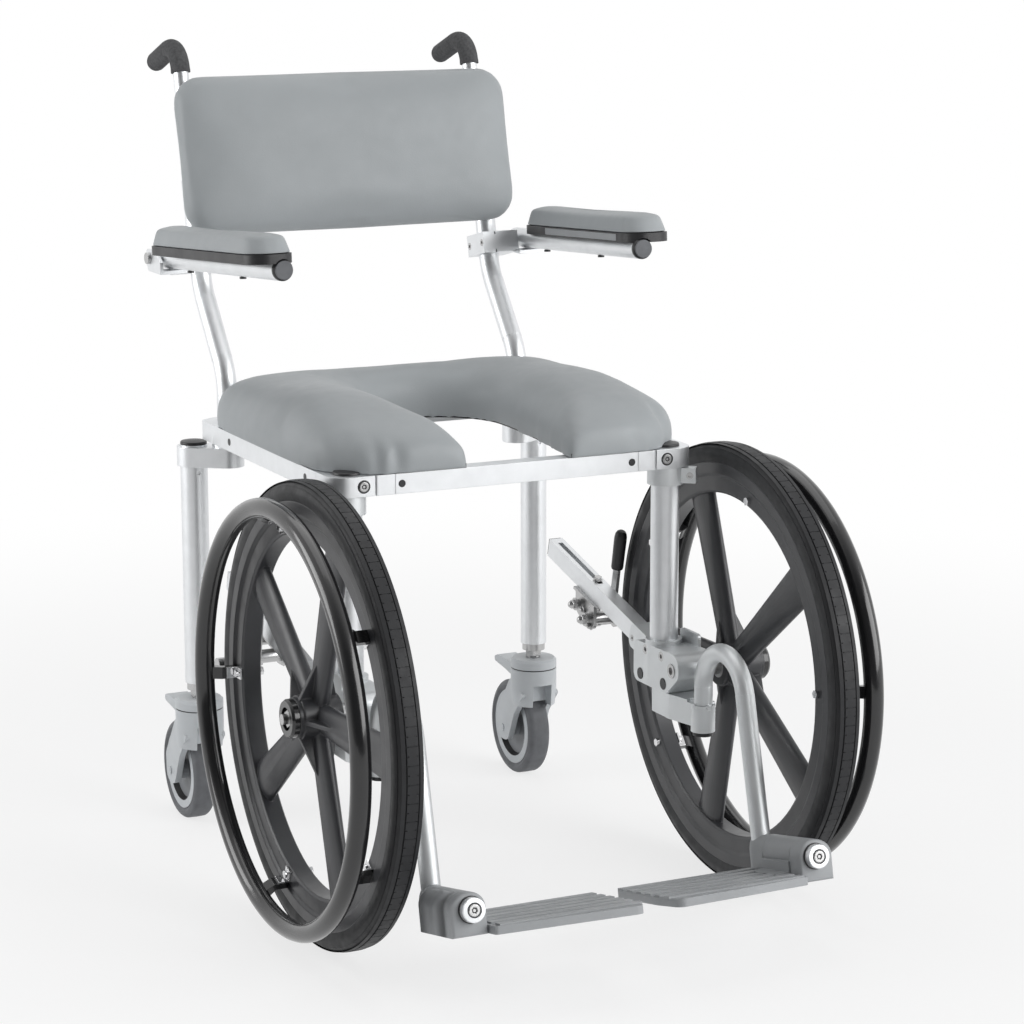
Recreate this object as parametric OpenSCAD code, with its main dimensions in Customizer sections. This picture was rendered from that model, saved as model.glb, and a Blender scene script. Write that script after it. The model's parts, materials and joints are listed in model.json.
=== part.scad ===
// Shower commode chair: wheeled seat frame with hand-driven wheels, rear casters,
// flip-up armrests, lift-off foot supports and push-to-lock wheel brakes.
// Millimetres, +Z up, the chair faces -Y, the floor is z = 0 and the origin lies
// on the floor under the middle of the chair. Sizes in y are written from the
// wheel axle and moved back by y_mid. Left (+X) parts are drawn, right ones mirrored.

/* [Drive wheels] */
// Outer radius of the drive tyre
wheel_r = 262; // [256:1:268]
// Width of the drive tyre
tyre_w = 34; // [30:1:36]
// Height of the tyre above its seat on the rim
tyre_h = 26; // [22:1:28]
// Depth of the rim below the tyre seat
rim_depth = 33; // [28:1:38]
// Distance of each wheel's middle plane from the chair's middle
wheel_x = 263; // [261:1:275]
// Width of a spoke at the hub
spoke_root_w = 34; // [26:1:36]
// Width of a spoke at the rim
spoke_tip_w = 52; // [40:1:60]
// Thickness of a spoke
spoke_t = 17; // [12:1:20]
// Radius of the wheel hub
hub_r = 25; // [22:1:28]
// Hub length towards the chair
hub_in = 22; // [16:1:22]
// Hub length away from the chair
hub_out = 29; // [24:1:32]
// Height of the hub cap ring
hub_cap_h = 9; // [5:1:11]
// Radius of the handrim circle
handrim_r = 234; // [229:1:239]
// Handrim tube diameter
handrim_d = 19.6; // [16:0.2:21]
// Handrim distance outboard of the wheel plane
handrim_x = 47; // [43:1:52]
// Axle diameter
axle_d = 12; // [10:1:13]
// Turn of the left wheel's spokes from upright
left_spoke_turn = 22; // [0:1:71]
// Turn of the right wheel's spokes from upright
right_spoke_turn = 54; // [0:1:71]

/* [Seat frame] */
// Height of the seat frame's top face
seat_h = 518; // [510:1:530]
// Height of the frame bars
bar_h = 23; // [20:1:26]
// Width of the frame bars
bar_w = 22; // [20:1:24]
// Outer face of the side rails
rail_x = 228; // [226:1:230]
// Front face of the frame behind the wheel axle
front_y = 34; // [32:1:38]
// Rear end of the side rails behind the axle
rail_end_y = 416; // [400:1:418]
// Front bar half length up to the corner castings
bar_half = 174; // [170:1:176]
// Leg tube diameter
leg_d = 33.4; // [31:0.2:34]
// Leg tube wall
leg_wall = 2.6; // [2:0.1:4]
// Front leg distance from the middle
front_leg_x = 201; // [200:1:203]
// Front leg distance behind the axle
front_leg_y = 58; // [57:1:59]
// Rear leg distance from the middle
rear_leg_x = 232; // [230:1:236]
// Rear leg distance behind the axle
rear_leg_y = 474; // [472:1:480]
// Drop of the rear leg top below the seat frame's top
rear_leg_drop = 32; // [28:1:34]
// Height of the front leg collar
collar_h = 22; // [16:1:26]

/* [Back] */
// Back cane diameter
cane_d = 25.4; // [23:0.2:26]
// Handle tube diameter above the step
handle_d = 19; // [17:0.2:20]
// Cane distance from the middle
cane_x = 196.5; // [195:0.5:198]
// Cane foot distance behind the axle
cane_y = 448; // [447:1:450]
// Rise of the cane from the seat frame to its first bend
cane_rise = 28; // [20:1:36]
// Lean of the cane's middle stretch
cane_lean = 39; // [36:0.5:41]
// Lean of the cane's upper stretch
back_lean = 13.4; // [12:0.1:15]
// Bend radius of the canes
cane_bend = 70; // [64:1:76]
// Length of the cane's middle stretch
cane_mid = 87.2; // [80:0.2:92]
// Length of the upper stretch up to the step
cane_up = 117.6; // [110:0.2:130]
// Length of the handle tube up to its bend
handle_up = 138; // [130:1:142]
// Bend radius of the push handles
handle_bend = 31; // [28:1:36]
// Turn of the push handles
handle_turn = 96; // [90:1:100]
// Straight end of the push handles
handle_end = 52; // [40:1:60]
// Foam wall of the push grips
grip_wall = 2.6; // [2:0.1:4]
// Half width of the back pad
back_w = 219; // [205:1:220]
// Half height of the back pad
back_hh = 96; // [88:1:98]
// Thickness of the back pad
back_t = 43; // [36:1:46]
// Thickness of the back board
back_board_t = 6; // [4:1:8]

/* [Seat pad] */
// Half width of the seat pad
seat_w = 231; // [224:1:234]
// Front edge of the seat pad behind the axle
seat_front = 33; // [30:1:40]
// Rear edge of the seat pad behind the axle
seat_rear = 428; // [422:1:430]
// Thickness of the seat board
seat_board_t = 5; // [4:1:8]
// Thickness of the seat pad at the rear
seat_t = 58; // [48:1:62]
// Half width of the seat opening at the front
gap_front = 62; // [56:1:66]
// Half width of the seat opening at its widest
gap_rear = 84; // [78:1:88]
// Rear end of the seat opening behind the axle
gap_end = 352; // [340:1:356]

/* [Arms] */
// Arm tube diameter
arm_d = 25; // [22:0.5:26]
// Arm pivot distance from the middle
arm_x = 243; // [242:0.5:245]
// Arm pivot height above the seat frame
arm_up = 191; // [189:0.5:193]
// Length of the arm from its pivot
arm_len = 366; // [340:1:376]
// Rise of the arm towards the front
arm_rise = 3.95; // [2:0.05:5]
// Turn of the arm towards the middle at the front
arm_toe = 2.2; // [0:0.1:2.5]
// Width of the arm pad
arm_pad_w = 57; // [48:1:60]
// Length of the arm pad
arm_pad_len = 322; // [290:1:326]
// Height of the arm pad
arm_pad_h = 25; // [18:1:30]
// Height of the tray under the arm pad
arm_tray_h = 11; // [8:1:14]
// Shift of the arm pad away from the middle
arm_pad_shift = 11; // [10:1:16]

/* [Casters] */
// Caster wheel radius
caster_r = 62.5; // [58:0.5:64]
// Caster wheel width
caster_w = 32; // [28:1:33]
// Caster trail
caster_trail = 40; // [36:1:42]
// Height of the caster's top
caster_h = 165; // [163:1:170]
// Radius of the caster hood
hood_r = 30; // [29:0.5:32]
// Caster stem diameter
stem_d = 12; // [10:1:14]
// Length of the brake pedal behind the swivel
pedal_len = 92; // [84:1:98]

/* [Wheel locks] */
// Width of the slotted bar
lock_bar_w = 18; // [16:1:18]
// Height of the slotted bar
lock_bar_h = 23; // [20:1:24]
// Outer face of the slotted bar
lock_bar_x = 226; // [224:1:226]
// Slope of the slotted bar
lock_slope = 14.6; // [13:0.1:16]
// Length of the slotted bar
lock_bar_len = 290; // [270:1:300]
// Length of the lock lever
lever_len = 112; // [100:1:120]
// Radius of the brake shoe
shoe_r = 9; // [7:0.5:10]
// Gap between open shoe and tyre
shoe_gap = 6; // [5:0.5:8]

/* [Foot supports] */
// Hanger tube diameter
hanger_d = 22; // [20:0.5:22.5]
// Hanger socket distance from the middle
socket_x = 204; // [202:1:206]
// Hanger socket distance in front of the axle
socket_fwd = 34; // [32:1:38]
// Bend radius of the gooseneck
neck_bend = 49; // [46:1:52]
// Height of the gooseneck bend's start above the axle
neck_rise = -12; // [-14:1:0]
// Slope of the hanger's down tube
down_slope = 14.6; // [12:0.1:16]
// Length of the hanger's down tube
down_len = 168; // [160:1:174]
// Tilt of the footplate
foot_tilt = 12.3; // [10:0.1:14]
// Foot hinge distance from the middle
foot_x = 208; // [207:0.5:210]
// Radius of the foot hinge housing
foot_r = 18.4; // [17:0.2:19]
// Length of the foot hinge housing
foot_len = 128; // [124:1:134]
// Inner end of the footplate from the middle
plate_in = 15; // [10:1:30]
// Thickness of the footplate
plate_t = 11; // [8:1:13]
// Drop of the footplate's top below its hinge
plate_drop = 17; // [16.5:0.1:18]

/* [Fits] */
// Gap of a turning fit, each side
run = 0.05; // [0.03:0.01:0.08]
// Gap of a fixed fit, each side
fit = 0.1; // [0.05:0.01:0.2]
// Gap between parts that pass each other
pass = 0.35; // [0.3:0.05:0.6]

/* [Hidden] */
$fn = 48;
// Step between shapes of one solid that run into each other
lap = 0.2;
axle_z = wheel_r;
rim_out = wheel_r - tyre_h;
rim_in = rim_out - rim_depth;
rim_hw = tyre_w / 2 - 2;
bar_z = seat_h - bar_h;
leg_r = leg_d / 2;
leg_in = leg_r - leg_wall;
cane_r = cane_d / 2;
handle_r = handle_d / 2;
grip_r = handle_r + grip_wall;
arm_r = arm_d / 2;
neck_r = hanger_d / 2;
clip_r = rim_in + 8;
step_out = clip_r + 5.5;
clip_w = 13;
clip_t = 2.2;
clip_rise = 14;

// Lower bracket and the parts that hang on it
brk_up = 21;
brk_down = 31;
brk_fore = 17;
brk_aft = 94;
brk_top = axle_z + brk_up;
brk_bot = axle_z - brk_down;
brk_in = 180;
brk_out = 228;
// Screws and plugs on the bracket's inner face: y, then height above the axle
brk_screws = [[65, 11.5], [26, 11.5]];
brk_plugs = [[77, -20.5], [20, -20]];
brk_plug_r = 6.8;
sock_top = brk_bot - 3;
sock_bot = brk_bot - 35;
sock_r = neck_r + 3.2;

// Rear leg and caster heights
rear_top = seat_h - rear_leg_drop;
rear_bot = caster_h + 20;

// Lock pivots
lever_y = wheel_r - 4;
lever_z = axle_z + 4;
shoe_y = wheel_r + shoe_gap + shoe_r;
shoe_z = axle_z - 6;
link_y = shoe_y + 7;
link_z = shoe_z + 24;
lever_x = lock_bar_x + 9;
lever_tilt = 12.5;

// Slotted bar frame: lower front end of its middle line, then along its slope.
// The bar passes link_room above the shoe's pivot.
link_room = 13;
bar_seat = (lock_bar_h / 2 + 2) / cos(lock_slope);
bar0_y = brk_aft + 6;
bar0_z = link_z + link_room + bar_seat - (link_y - bar0_y) * tan(lock_slope);
bar_mid_x = lock_bar_x - lock_bar_w / 2;
lug_screw = [44.5, -3.4];

// Cane and handle path, start z then turtle steps [length, turn, radius]
cane_z0 = rear_top - 26;
cane_steps = [
  [seat_h + cane_rise - cane_z0, cane_lean, cane_bend],
  [cane_mid, back_lean - cane_lean, cane_bend],
  [cane_up, 0, 0]
];
function turned(a, r) = [r * (1 - cos(a)), r * sin(a)];
p1 = [cane_y, seat_h + cane_rise] + turned(cane_lean, cane_bend);
p2 = p1 + cane_mid * [sin(cane_lean), cos(cane_lean)];
p3 = p2 + cane_bend * [cos(back_lean) - cos(cane_lean), sin(cane_lean) - sin(back_lean)];
p4 = p3 + cane_up * [sin(back_lean), cos(back_lean)];
p5 = p4 + handle_up * [sin(back_lean), cos(back_lean)];
end_turn = back_lean + handle_turn;
p6 = p5 + handle_bend * [cos(back_lean) - cos(end_turn), sin(end_turn) - sin(back_lean)];
p7 = p6 + handle_end * [sin(end_turn), cos(end_turn)];
// Point on the upper cane, d millimetres above its lower end
function on_back(d) = p3 + d * [sin(back_lean), cos(back_lean)];

// Arm pivot and clamp
arm_z = seat_h + arm_up;
arm_y = p3[0] + (arm_z - 4 - p3[1]) * tan(back_lean) + 3;
clamp_d = (arm_z - 6 - p3[1]) / cos(back_lean);
clamp_y = on_back(clamp_d)[0];
clamp_z = on_back(clamp_d)[1];

// Foot hinge: front face of the housing on its hinge line
neck_z = axle_z + neck_rise;
neck_end_y = -socket_fwd - neck_bend * (1 + cos(down_slope));
neck_end_z = neck_z + neck_bend * sin(down_slope);
tube_end_y = neck_end_y - down_len * sin(down_slope);
tube_end_z = neck_end_z - down_len * cos(down_slope);
tube_seat = foot_len - 18;
foot_y = tube_end_y - tube_seat * cos(foot_tilt) - 8 * sin(foot_tilt);
foot_z = tube_end_z + tube_seat * sin(foot_tilt) - 8 * cos(foot_tilt);
knuckle_0 = 24;
knuckle_1 = 84;
plate_front = -32;
plate_sweep = 16;
plate_back = tube_seat + 1;
plate_out = -foot_r - 1;
plate_end = plate_in - foot_x;
plate_outline = rounded(
  [[plate_out, plate_front + plate_sweep], [plate_end + 6, plate_front], [plate_end, plate_front + 40],
   [plate_end, plate_back], [plate_out, plate_back]], [4, 10, 30, 10, 6]);
plate_tip = min([for (p = plate_outline) p[1]]);

// Middle of the chair between the plates' front edge and the push grips' ends
front_all = foot_y + plate_tip * cos(foot_tilt) - (plate_drop + plate_t) * sin(foot_tilt);
rear_all = p7[0] + grip_r - lap;
y_mid = (front_all + rear_all) / 2;

silver = [0.86, 0.87, 0.88];
grey_cast = [0.72, 0.73, 0.74];
charcoal = [0.22, 0.23, 0.24];
black = [0.08, 0.08, 0.09];
vinyl = [0.60, 0.62, 0.63];
steel = [0.78, 0.79, 0.80];
plate_grey = [0.48, 0.49, 0.50];

// Moves a part from the axle's y to the chair's middle
module place() { translate([0, -y_mid, 0]) children(); }

module left() { place() children(); }

module right() { place() mirror([1, 0, 0]) children(); }

module both() { left() children(); right() children(); }

// Cylinder along X, from x0 to x1
module rod_x(r, x0, x1) { translate([x0, 0, 0]) rotate([0, 90, 0]) cylinder(r = r, h = x1 - x0); }

// Cylinder along -Y, from the front face at y0 back to y1
module rod_y(r, y0, y1) { translate([0, y1, 0]) rotate([90, 0, 0]) cylinder(r = r, h = y1 - y0); }

// Outline in y and z, drawn out along X from x0 to x1
module side_plate(x0, x1) {
  translate([x0, 0, 0]) rotate([90, 0, 90]) linear_extrude(x1 - x0) children();
}

// Polygon points with round corners: one radius for each point, n steps to a corner
function unit(v) = v / norm(v);
function corner(a, b, c, r, n) =
  let (u = unit(a - b), w = unit(c - b), h = acos(u * w) / 2, t = r / tan(h))
  let (m = b + unit(u + w) * r / sin(h), s = b + u * t - m, e = b + w * t - m)
  let (a0 = atan2(s[1], s[0]), d0 = atan2(e[1], e[0]) - a0)
  let (d = d0 > 180 ? d0 - 360 : d0 < -180 ? d0 + 360 : d0)
  r <= 0 ? [b] : [for (i = [0 : n]) m + r * [cos(a0 + d * i / n), sin(a0 + d * i / n)]];
function rounded(p, r, n = 6) =
  let (k = len(p))
  [for (i = [0 : k - 1]) each corner(p[(i + k - 1) % k], p[i], p[(i + 1) % k], r[i], n)];

// Bent tube: each step is a straight length, then a turn from +Z towards +Y
module bent(steps, r, i = 0) {
  if (i < len(steps)) {
    length = steps[i][0];
    turn = steps[i][1];
    radius = steps[i][2];
    cylinder(r = r, h = length);
    translate([0, 0, length]) {
      if (turn != 0)
        mirror([0, turn < 0 ? 1 : 0, 0]) translate([0, radius, 0]) rotate([90, 0, -90])
          rotate([0, 0, -1]) rotate_extrude(angle = abs(turn) + 2) translate([radius, 0])
            circle(r = r - lap);
      shift = radius * (1 - cos(turn)) * sign(turn);
      translate([0, shift, radius * sin(abs(turn))]) rotate([-turn, 0, 0]) bent(steps, r, i + 1);
    }
  }
}

// Socket screw along -Z with its head's top at z = 0
module socket_screw(r, h, shank_r, shank) {
  difference() {
    union() {
      translate([0, 0, -h]) cylinder(r = r, h = h);
      translate([0, 0, -h - shank]) cylinder(r = shank_r, h = shank + 0.5);
    }
    translate([0, 0, -h * 0.6]) cylinder(r = r * 0.5, h = h, $fn = 6);
  }
}

// Sunk place for a socket screw
module screw_hole(r, h, shank_r, shank) {
  translate([0, 0, -h]) cylinder(r = r + fit, h = h + 5);
  translate([0, 0, -h - shank - fit]) cylinder(r = shank_r + fit, h = shank + h);
}

// Stands a screw on an inner face at [x, y, z], head towards the chair's middle
module face_in(p) { translate(p) rotate([0, -90, 0]) children(); }

// Stands a screw on a front face, head towards the front
module face_front(p) { translate(p) rotate([90, 0, 0]) children(); }

// Seat frame

plug_r = 4.2;
plug_x = 144.5;
plug_d = 3;

module seat_cross_bars() color(silver) place() {
  difference() {
    translate([-bar_half, front_y, bar_z]) cube([2 * bar_half, bar_w, bar_h]);
    for (s = [-1, 1]) {
      translate([s * 152.6 - 0.4, front_y - 1, bar_z - 1]) cube([0.8, 1.5, bar_h + 2]);
      translate([s * 152.6 - 0.4, front_y - 1, bar_z - 0.01]) cube([0.8, bar_w + 2, 0.5]);
      translate([s * plug_x, 0, seat_h - bar_h / 2]) rod_y(plug_r + fit, front_y - 1, front_y + plug_d);
    }
  }
  translate([-rear_in, cane_y - 10, bar_z]) cube([2 * rear_in, bar_w, bar_h]);
}

// Inner end of the rear corner castings
boss_r = 19.5;
rear_in = cane_x - boss_r - fit;
rail_front = front_y + 50;

module seat_rails() color(silver) both() difference() {
  translate([rail_x - bar_w, rail_front, bar_z]) cube([bar_w, rail_end_y - rail_front, bar_h]);
  for (y = [rail_front + 32, rail_end_y - 57])
    translate([0, y, seat_h - bar_h / 2]) rod_x(plug_r + fit, rail_x - plug_d, rail_x + 1);
}

corner_screw_x = bar_half + 16.5;
corner_screw_r = 7;

module front_corners() color(silver) both() difference() {
  translate([0, 0, bar_z]) linear_extrude(bar_h) polygon(rounded(
    [[bar_half, front_y], [rail_x, front_y], [rail_x, rail_front],
     [rail_x - bar_w - 14, rail_front], [bar_half + 3, front_y + 33], [bar_half, front_y + bar_w]],
    [0.5, 22, 0.5, 12, 8, 0.5]));
  translate([front_leg_x, front_leg_y, bar_z - 1]) cylinder(r = leg_r + fit, h = bar_h + 2);
  translate([bar_half + 1.2, front_y - 1, bar_z - 1]) cube([1.6, 8, bar_h + 2]);
  face_front([corner_screw_x, front_y, seat_h - bar_h / 2]) screw_hole(corner_screw_r, 4, 2, 2);
}

module rear_corners() color(silver) both() difference() {
  union() {
    translate([0, 0, bar_z]) linear_extrude(bar_h) polygon(rounded(
      [[rear_in, cane_y - 14], [rail_x - bar_w, rail_end_y], [rail_x, rail_end_y],
       [rail_x, cane_y + 8], [cane_x + 12, cane_y + 20], [rear_in, cane_y + 20]],
      [3, 0.5, 0.5, 10, 8, 12]));
    translate([0, 0, rear_top - 26]) linear_extrude(bar_z - rear_top + 27) circle_at(cane_x, cane_y, boss_r);
    translate([0, 0, rear_top - 26]) linear_extrude(24) strap(
      [cane_x, cane_y], boss_r, [rear_leg_x, rear_leg_y], leg_r + 4);
  }
  translate([cane_x, cane_y, rear_top - 27]) cylinder(r = cane_r + fit, h = 100);
  translate([rear_leg_x, rear_leg_y, rear_top - 40]) cylinder(r = leg_r + fit, h = 60);
}

module circle_at(x, y, r) { translate([x, y]) circle(r = r); }

// Two circles joined by their outer tangents
module strap(a, ra, b, rb) {
  base = atan2(b[1] - a[1], b[0] - a[0]);
  q = acos((ra - rb) / norm(b - a));
  circle_at(a[0], a[1], ra);
  circle_at(b[0], b[1], rb);
  polygon([a + ra * [cos(base + q), sin(base + q)], a + ra * [cos(base - q), sin(base - q)],
    b + rb * [cos(base - q), sin(base - q)], b + rb * [cos(base + q), sin(base + q)]]);
}

module tube(r, wall, h) {
  difference() {
    cylinder(r = r, h = h);
    translate([0, 0, -1]) cylinder(r = r - wall, h = h + 2);
  }
}

leg_foot = brk_bot + 8;

module front_legs() color(silver) both() difference() {
  translate([front_leg_x, front_leg_y, leg_foot]) tube(leg_r, leg_wall, seat_h - leg_foot);
  on_brk_screws() screw_hole(6, 4, 3, 4);
}

// Stands a screw at each screw place on the lower bracket's inner face
module on_brk_screws() { for (p = brk_screws) face_in([brk_in, p[0], axle_z + p[1]]) children(); }

module rear_legs() color(silver) both() difference() {
  translate([rear_leg_x, rear_leg_y, rear_bot]) tube(leg_r, leg_wall, rear_top - rear_bot);
  translate([rear_leg_x, rear_leg_y, rear_top - 34]) rod_y(2.2, -leg_r - 2, -leg_r + 1.5);
}

collar_r = leg_r + 4.5;
lug_len = leg_r + 20;

module leg_collars() color(grey_cast) both()
  translate([front_leg_x, front_leg_y, bar_z - collar_h]) difference() {
    union() {
      cylinder(r = collar_r, h = collar_h);
      rotate([0, 0, -35]) translate([0, -7.5, 2]) cube([lug_len, 15, collar_h - 4]);
    }
    translate([0, 0, -1]) cylinder(r = leg_r + fit, h = collar_h + 2);
    rotate([0, 0, -35]) translate([leg_r - 1, -0.8, -1]) cube([40, 1.6, collar_h + 2]);
    rotate([0, 0, -35]) translate([lug_len - 7, -7.5, collar_h / 2]) rotate([90, 0, 0])
      screw_hole(4, 2.5, 1.8, 3);
  }

// Domed cap of height h on a tube end, with a plug down the bore
module dome_cap(r, plug, h) {
  edge = h * 0.36;
  rotate_extrude() polygon(concat([[0, -8], [plug - fit, -8], [plug - fit, 0.1], [r, 0.1], [r, edge]],
    [for (a = [15 : 15 : 75]) [r - edge + edge * cos(a), edge + edge * sin(a)]],
    [[r - edge * 1.2, 2 * edge], [r * 0.5, h * 0.93], [0, h]]));
}

// The front caps stay under the seat pad, in notches of the seat board
front_cap_r = leg_r - 0.5;
front_cap_h = seat_board_t + 2 * fit - pass;
rear_cap_h = 5.6;

module frame_caps() color(black) both() {
  translate([front_leg_x, front_leg_y, seat_h]) dome_cap(front_cap_r, leg_in, front_cap_h);
  translate([rear_leg_x, rear_leg_y, rear_top]) dome_cap(leg_r - 0.3, leg_in, rear_cap_h);
  translate([plug_x, 0, seat_h - bar_h / 2]) rod_y(plug_r, front_y - 0.3, front_y + plug_d);
  for (y = [rail_front + 32, rail_end_y - 57])
    translate([0, y, seat_h - bar_h / 2]) rod_x(plug_r, rail_x - plug_d, rail_x + 0.3);
  for (p = brk_plugs)
    translate([0, p[0], axle_z + p[1]]) rod_x(brk_plug_r, brk_in - 0.6, brk_in + 3);
  translate([socket_x, -socket_fwd, sock_bot - 5]) cylinder(r = sock_r - 2.5, h = 5);
  on_bar() translate([lock_bar_x - lock_bar_w + 1, lock_bar_len, -lock_bar_h / 2 + 1])
    cube([lock_bar_w - 2, 3, lock_bar_h - 2]);
}

module frame_screws() color(steel) both() {
  face_front([corner_screw_x, front_y, seat_h - bar_h / 2]) socket_screw(corner_screw_r, 4, 2, 2);
  translate([front_leg_x, front_leg_y, bar_z - collar_h]) rotate([0, 0, -35])
    translate([lug_len - 7, -7.5, collar_h / 2]) rotate([90, 0, 0]) socket_screw(4, 2.5, 1.8, 3);
  on_clamp() for (y = [-19, 19]) face_in([clamp_in, y, 0]) socket_screw(4.6, 3.5, 2.4, 4);
  on_brk_screws() socket_screw(6, 4, 3, 4);
  on_bar() face_in(concat(lug_in, lug_screw)) socket_screw(4.2, 2, 1.5, 1.2);
  on_pivot() {
    rod_x(pivot_r, clamp_face - 8 - arm_x, cheek_out + 3 - arm_x);
    rod_x(7, cheek_out + 0.35 - arm_x, cheek_out + 4.3 - arm_x);
  }
}

// Back

module upper_cane(r) { translate([cane_x, cane_y, cane_z0]) bent(cane_steps, r); }

module handle_tube(r, ext) {
  translate([cane_x, p4[0], p4[1]]) rotate([-back_lean, 0, 0]) translate([0, 0, -20])
    bent([[handle_up + 20, handle_turn, handle_bend], [handle_end + ext, 0, 0]], r);
}

module back_canes() color(silver) both() {
  upper_cane(cane_r);
  handle_tube(handle_r, -4);
}

module push_grips() color(black) both() difference() {
  union() {
    translate([cane_x, p5[0], p5[1]]) rotate([-back_lean, 0, 0]) translate([0, 0, -4])
      bent([[4, handle_turn, handle_bend], [handle_end, 0, 0]], grip_r);
    translate([cane_x, p7[0], p7[1]]) sphere(r = grip_r - lap);
  }
  translate([cane_x, p5[0], p5[1]]) rotate([-back_lean, 0, 0]) translate([0, 0, -8])
    bent([[8, handle_turn, handle_bend], [handle_end - 4 + fit, 0, 0]], handle_r + fit);
}

// Frame of the upper cane: origin on its line, z along it, -Y to the front
module on_clamp() { translate([0, clamp_y, clamp_z]) rotate([-back_lean, 0, 0]) children(); }

// Frame of the arm pivot: x along its bolt
module on_pivot() { translate([arm_x, arm_y, arm_z]) rotate([0, 0, -arm_toe]) children(); }

clamp_in = cane_x - 17;
clamp_face = cane_x + 32;
clamp_hh = 13.5;
pivot_r = 4;
cheek_in = arm_x + arm_r + 1.2;
cheek_out = cheek_in + 4;
shelf_y = arm_y - arm_r - 6;
shelf_z = arm_z + (arm_y - shelf_y) * tan(arm_rise) - arm_r - pass;

module arm_clamps() color(grey_cast) both() difference() {
  union() {
    on_clamp() translate([clamp_in, -25, -clamp_hh]) cube([cane_x - 0.8 - clamp_in, 50, 2 * clamp_hh]);
    on_clamp() translate([cane_x - 2, -25, -clamp_hh + 4]) cube([4, 6, 2 * clamp_hh - 8]);
    on_clamp() translate([cane_x - 2, 19, -clamp_hh + 4]) cube([4, 6, 2 * clamp_hh - 8]);
    on_clamp() translate([cane_x + 0.8, -25, -clamp_hh]) cube([clamp_face - cane_x - 0.8, 50, 2 * clamp_hh]);
    translate([clamp_face - 4, shelf_y - 22, shelf_z - 4.5]) cube([cheek_out - clamp_face + 4, 22, 4.5]);
    side_plate(cheek_in, cheek_out) polygon(rounded(
      [[shelf_y - 22, shelf_z - 4.5], [arm_y + 4, shelf_z - 4.5], [arm_y + 12, arm_z - 6],
       [arm_y + 12, arm_z + 11], [shelf_y - 4, arm_z + 11], [shelf_y - 22, arm_z - 2]],
      [2, 5, 5, 8, 6, 4]));
  }
  on_clamp() translate([cane_x, 0, -60]) cylinder(r = cane_r + fit, h = 120);
  on_clamp() for (y = [-19, 19]) face_in([clamp_in, y, 0]) screw_hole(4.6, 3.5, 2.4, 4);
  on_pivot() rod_x(pivot_r + fit, clamp_face - 8 - fit - arm_x, cheek_out + 2 - arm_x);
}

// Back pad frame: origin at the pad's middle on the cane line, z up the cane
pad_mid = on_back((seat_h + 306 - p3[1]) / cos(back_lean));

module on_pad() { place() translate([0, pad_mid[0], pad_mid[1]]) rotate([-back_lean, 0, 0]) children(); }

board_back = cane_r + 0.15;
back_corner = 34;
// The board stays back_edge inside the pad's outline
back_edge = 8;
board_w = back_w - back_edge;
board_h = back_hh - back_edge;
// Rings of the back pad: share of its half height drawn in, share of its thickness
back_crown = [[0.06, 0], [0.015, 0.12], [0, 0.32], [0.01, 0.5], [0.04, 0.68], [0.1, 0.83], [0.23, 0.93],
  [0.5, 0.985], [0.83, 1]];

module back_board() color(charcoal) on_pad() translate([0, -board_back, 0]) rotate([90, 0, 0])
  linear_extrude(back_board_t) polygon(rounded(
    [[-board_w, -board_h], [board_w, -board_h], [board_w, board_h], [-board_w, board_h]],
    [1, 1, 1, 1] * (back_corner - back_edge)));

// Round rectangle as points, each corner in n steps
function round_rect(hw, hh, r, n) =
  [for (q = [0 : 3]) for (i = [0 : n])
    let (a = 90 * q + 90 * i / n)
    [(q == 0 || q == 3 ? 1 : -1) * (hw - r) + r * cos(a), (q < 2 ? 1 : -1) * (hh - r) + r * sin(a)]];

// Pillow solid: ring k lies at height rings[k][1] and is drawn in by rings[k][0]
module pillow(hw, hh, r, n, rings) {
  m = 4 * (n + 1);
  k = len(rings);
  pts = [for (g = rings) for (p = round_rect(hw - g[0], hh - g[0], max(r - g[0] * 0.5, 2), n))
    [p[0], p[1], g[1]]];
  sides = [for (j = [0 : k - 2]) for (i = [0 : m - 1]) let (a = j * m + i, b = j * m + (i + 1) % m)
    [a, a + m, b + m, b]];
  polyhedron(concat(pts), concat(sides, [[for (i = [0 : m - 1]) i]],
    [[for (i = [m - 1 : -1 : 0]) (k - 1) * m + i]]));
}

module back_pad() color(vinyl) on_pad() translate([0, -board_back - back_board_t - fit, 0]) rotate([90, 0, 0])
  pillow(back_w, back_hh, back_corner, 8, [for (g = back_crown) [g[0] * back_hh, g[1] * back_t]]);

// Seat

// Half outlines of the seat in x and y from front to rear, inner edge then outer edge
function gap_w(t) = gap_front + (gap_rear - gap_front) * sin(90 * t);
gap_turn = gap_end - gap_rear;

function seat_inner(n) = concat(
  [for (i = [0 : n]) let (t = i / n) [gap_w(t), seat_front + (gap_turn - seat_front) * t]],
  [for (i = [1 : n]) let (a = 90 * i / n) [gap_rear * cos(a), gap_turn + gap_rear * sin(a)]]);

front_corner = 84;
// Lengths over which the pad rounds off at its front and rises to its full height
pad_nose = 66;
pad_rise = 250;
rear_corner = 40;

// Outer edge, with points spread to match the inner edge
function seat_outer(n) = concat(
  [for (i = [0 : n]) let (t = i / n)
    t < 0.62 ? let (a = -90 + 90 * t / 0.62)
      [seat_w - front_corner + front_corner * cos(a), seat_front + front_corner + front_corner * sin(a)]
    : [seat_w, seat_front + front_corner + (gap_turn - seat_front - front_corner) * (t - 0.62) / 0.38]],
  [for (i = [1 : n]) let (t = i / n)
    t < 0.4 ? [seat_w, gap_turn + (seat_rear - rear_corner - gap_turn) * t / 0.4]
    : t < 0.7 ? let (a = 90 * (t - 0.4) / 0.3)
      [seat_w - rear_corner + rear_corner * cos(a), seat_rear - rear_corner + rear_corner * sin(a)]
    : [(seat_w - rear_corner) * (1 - t) / 0.3, seat_rear]]);

seat_n = 14;
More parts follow.
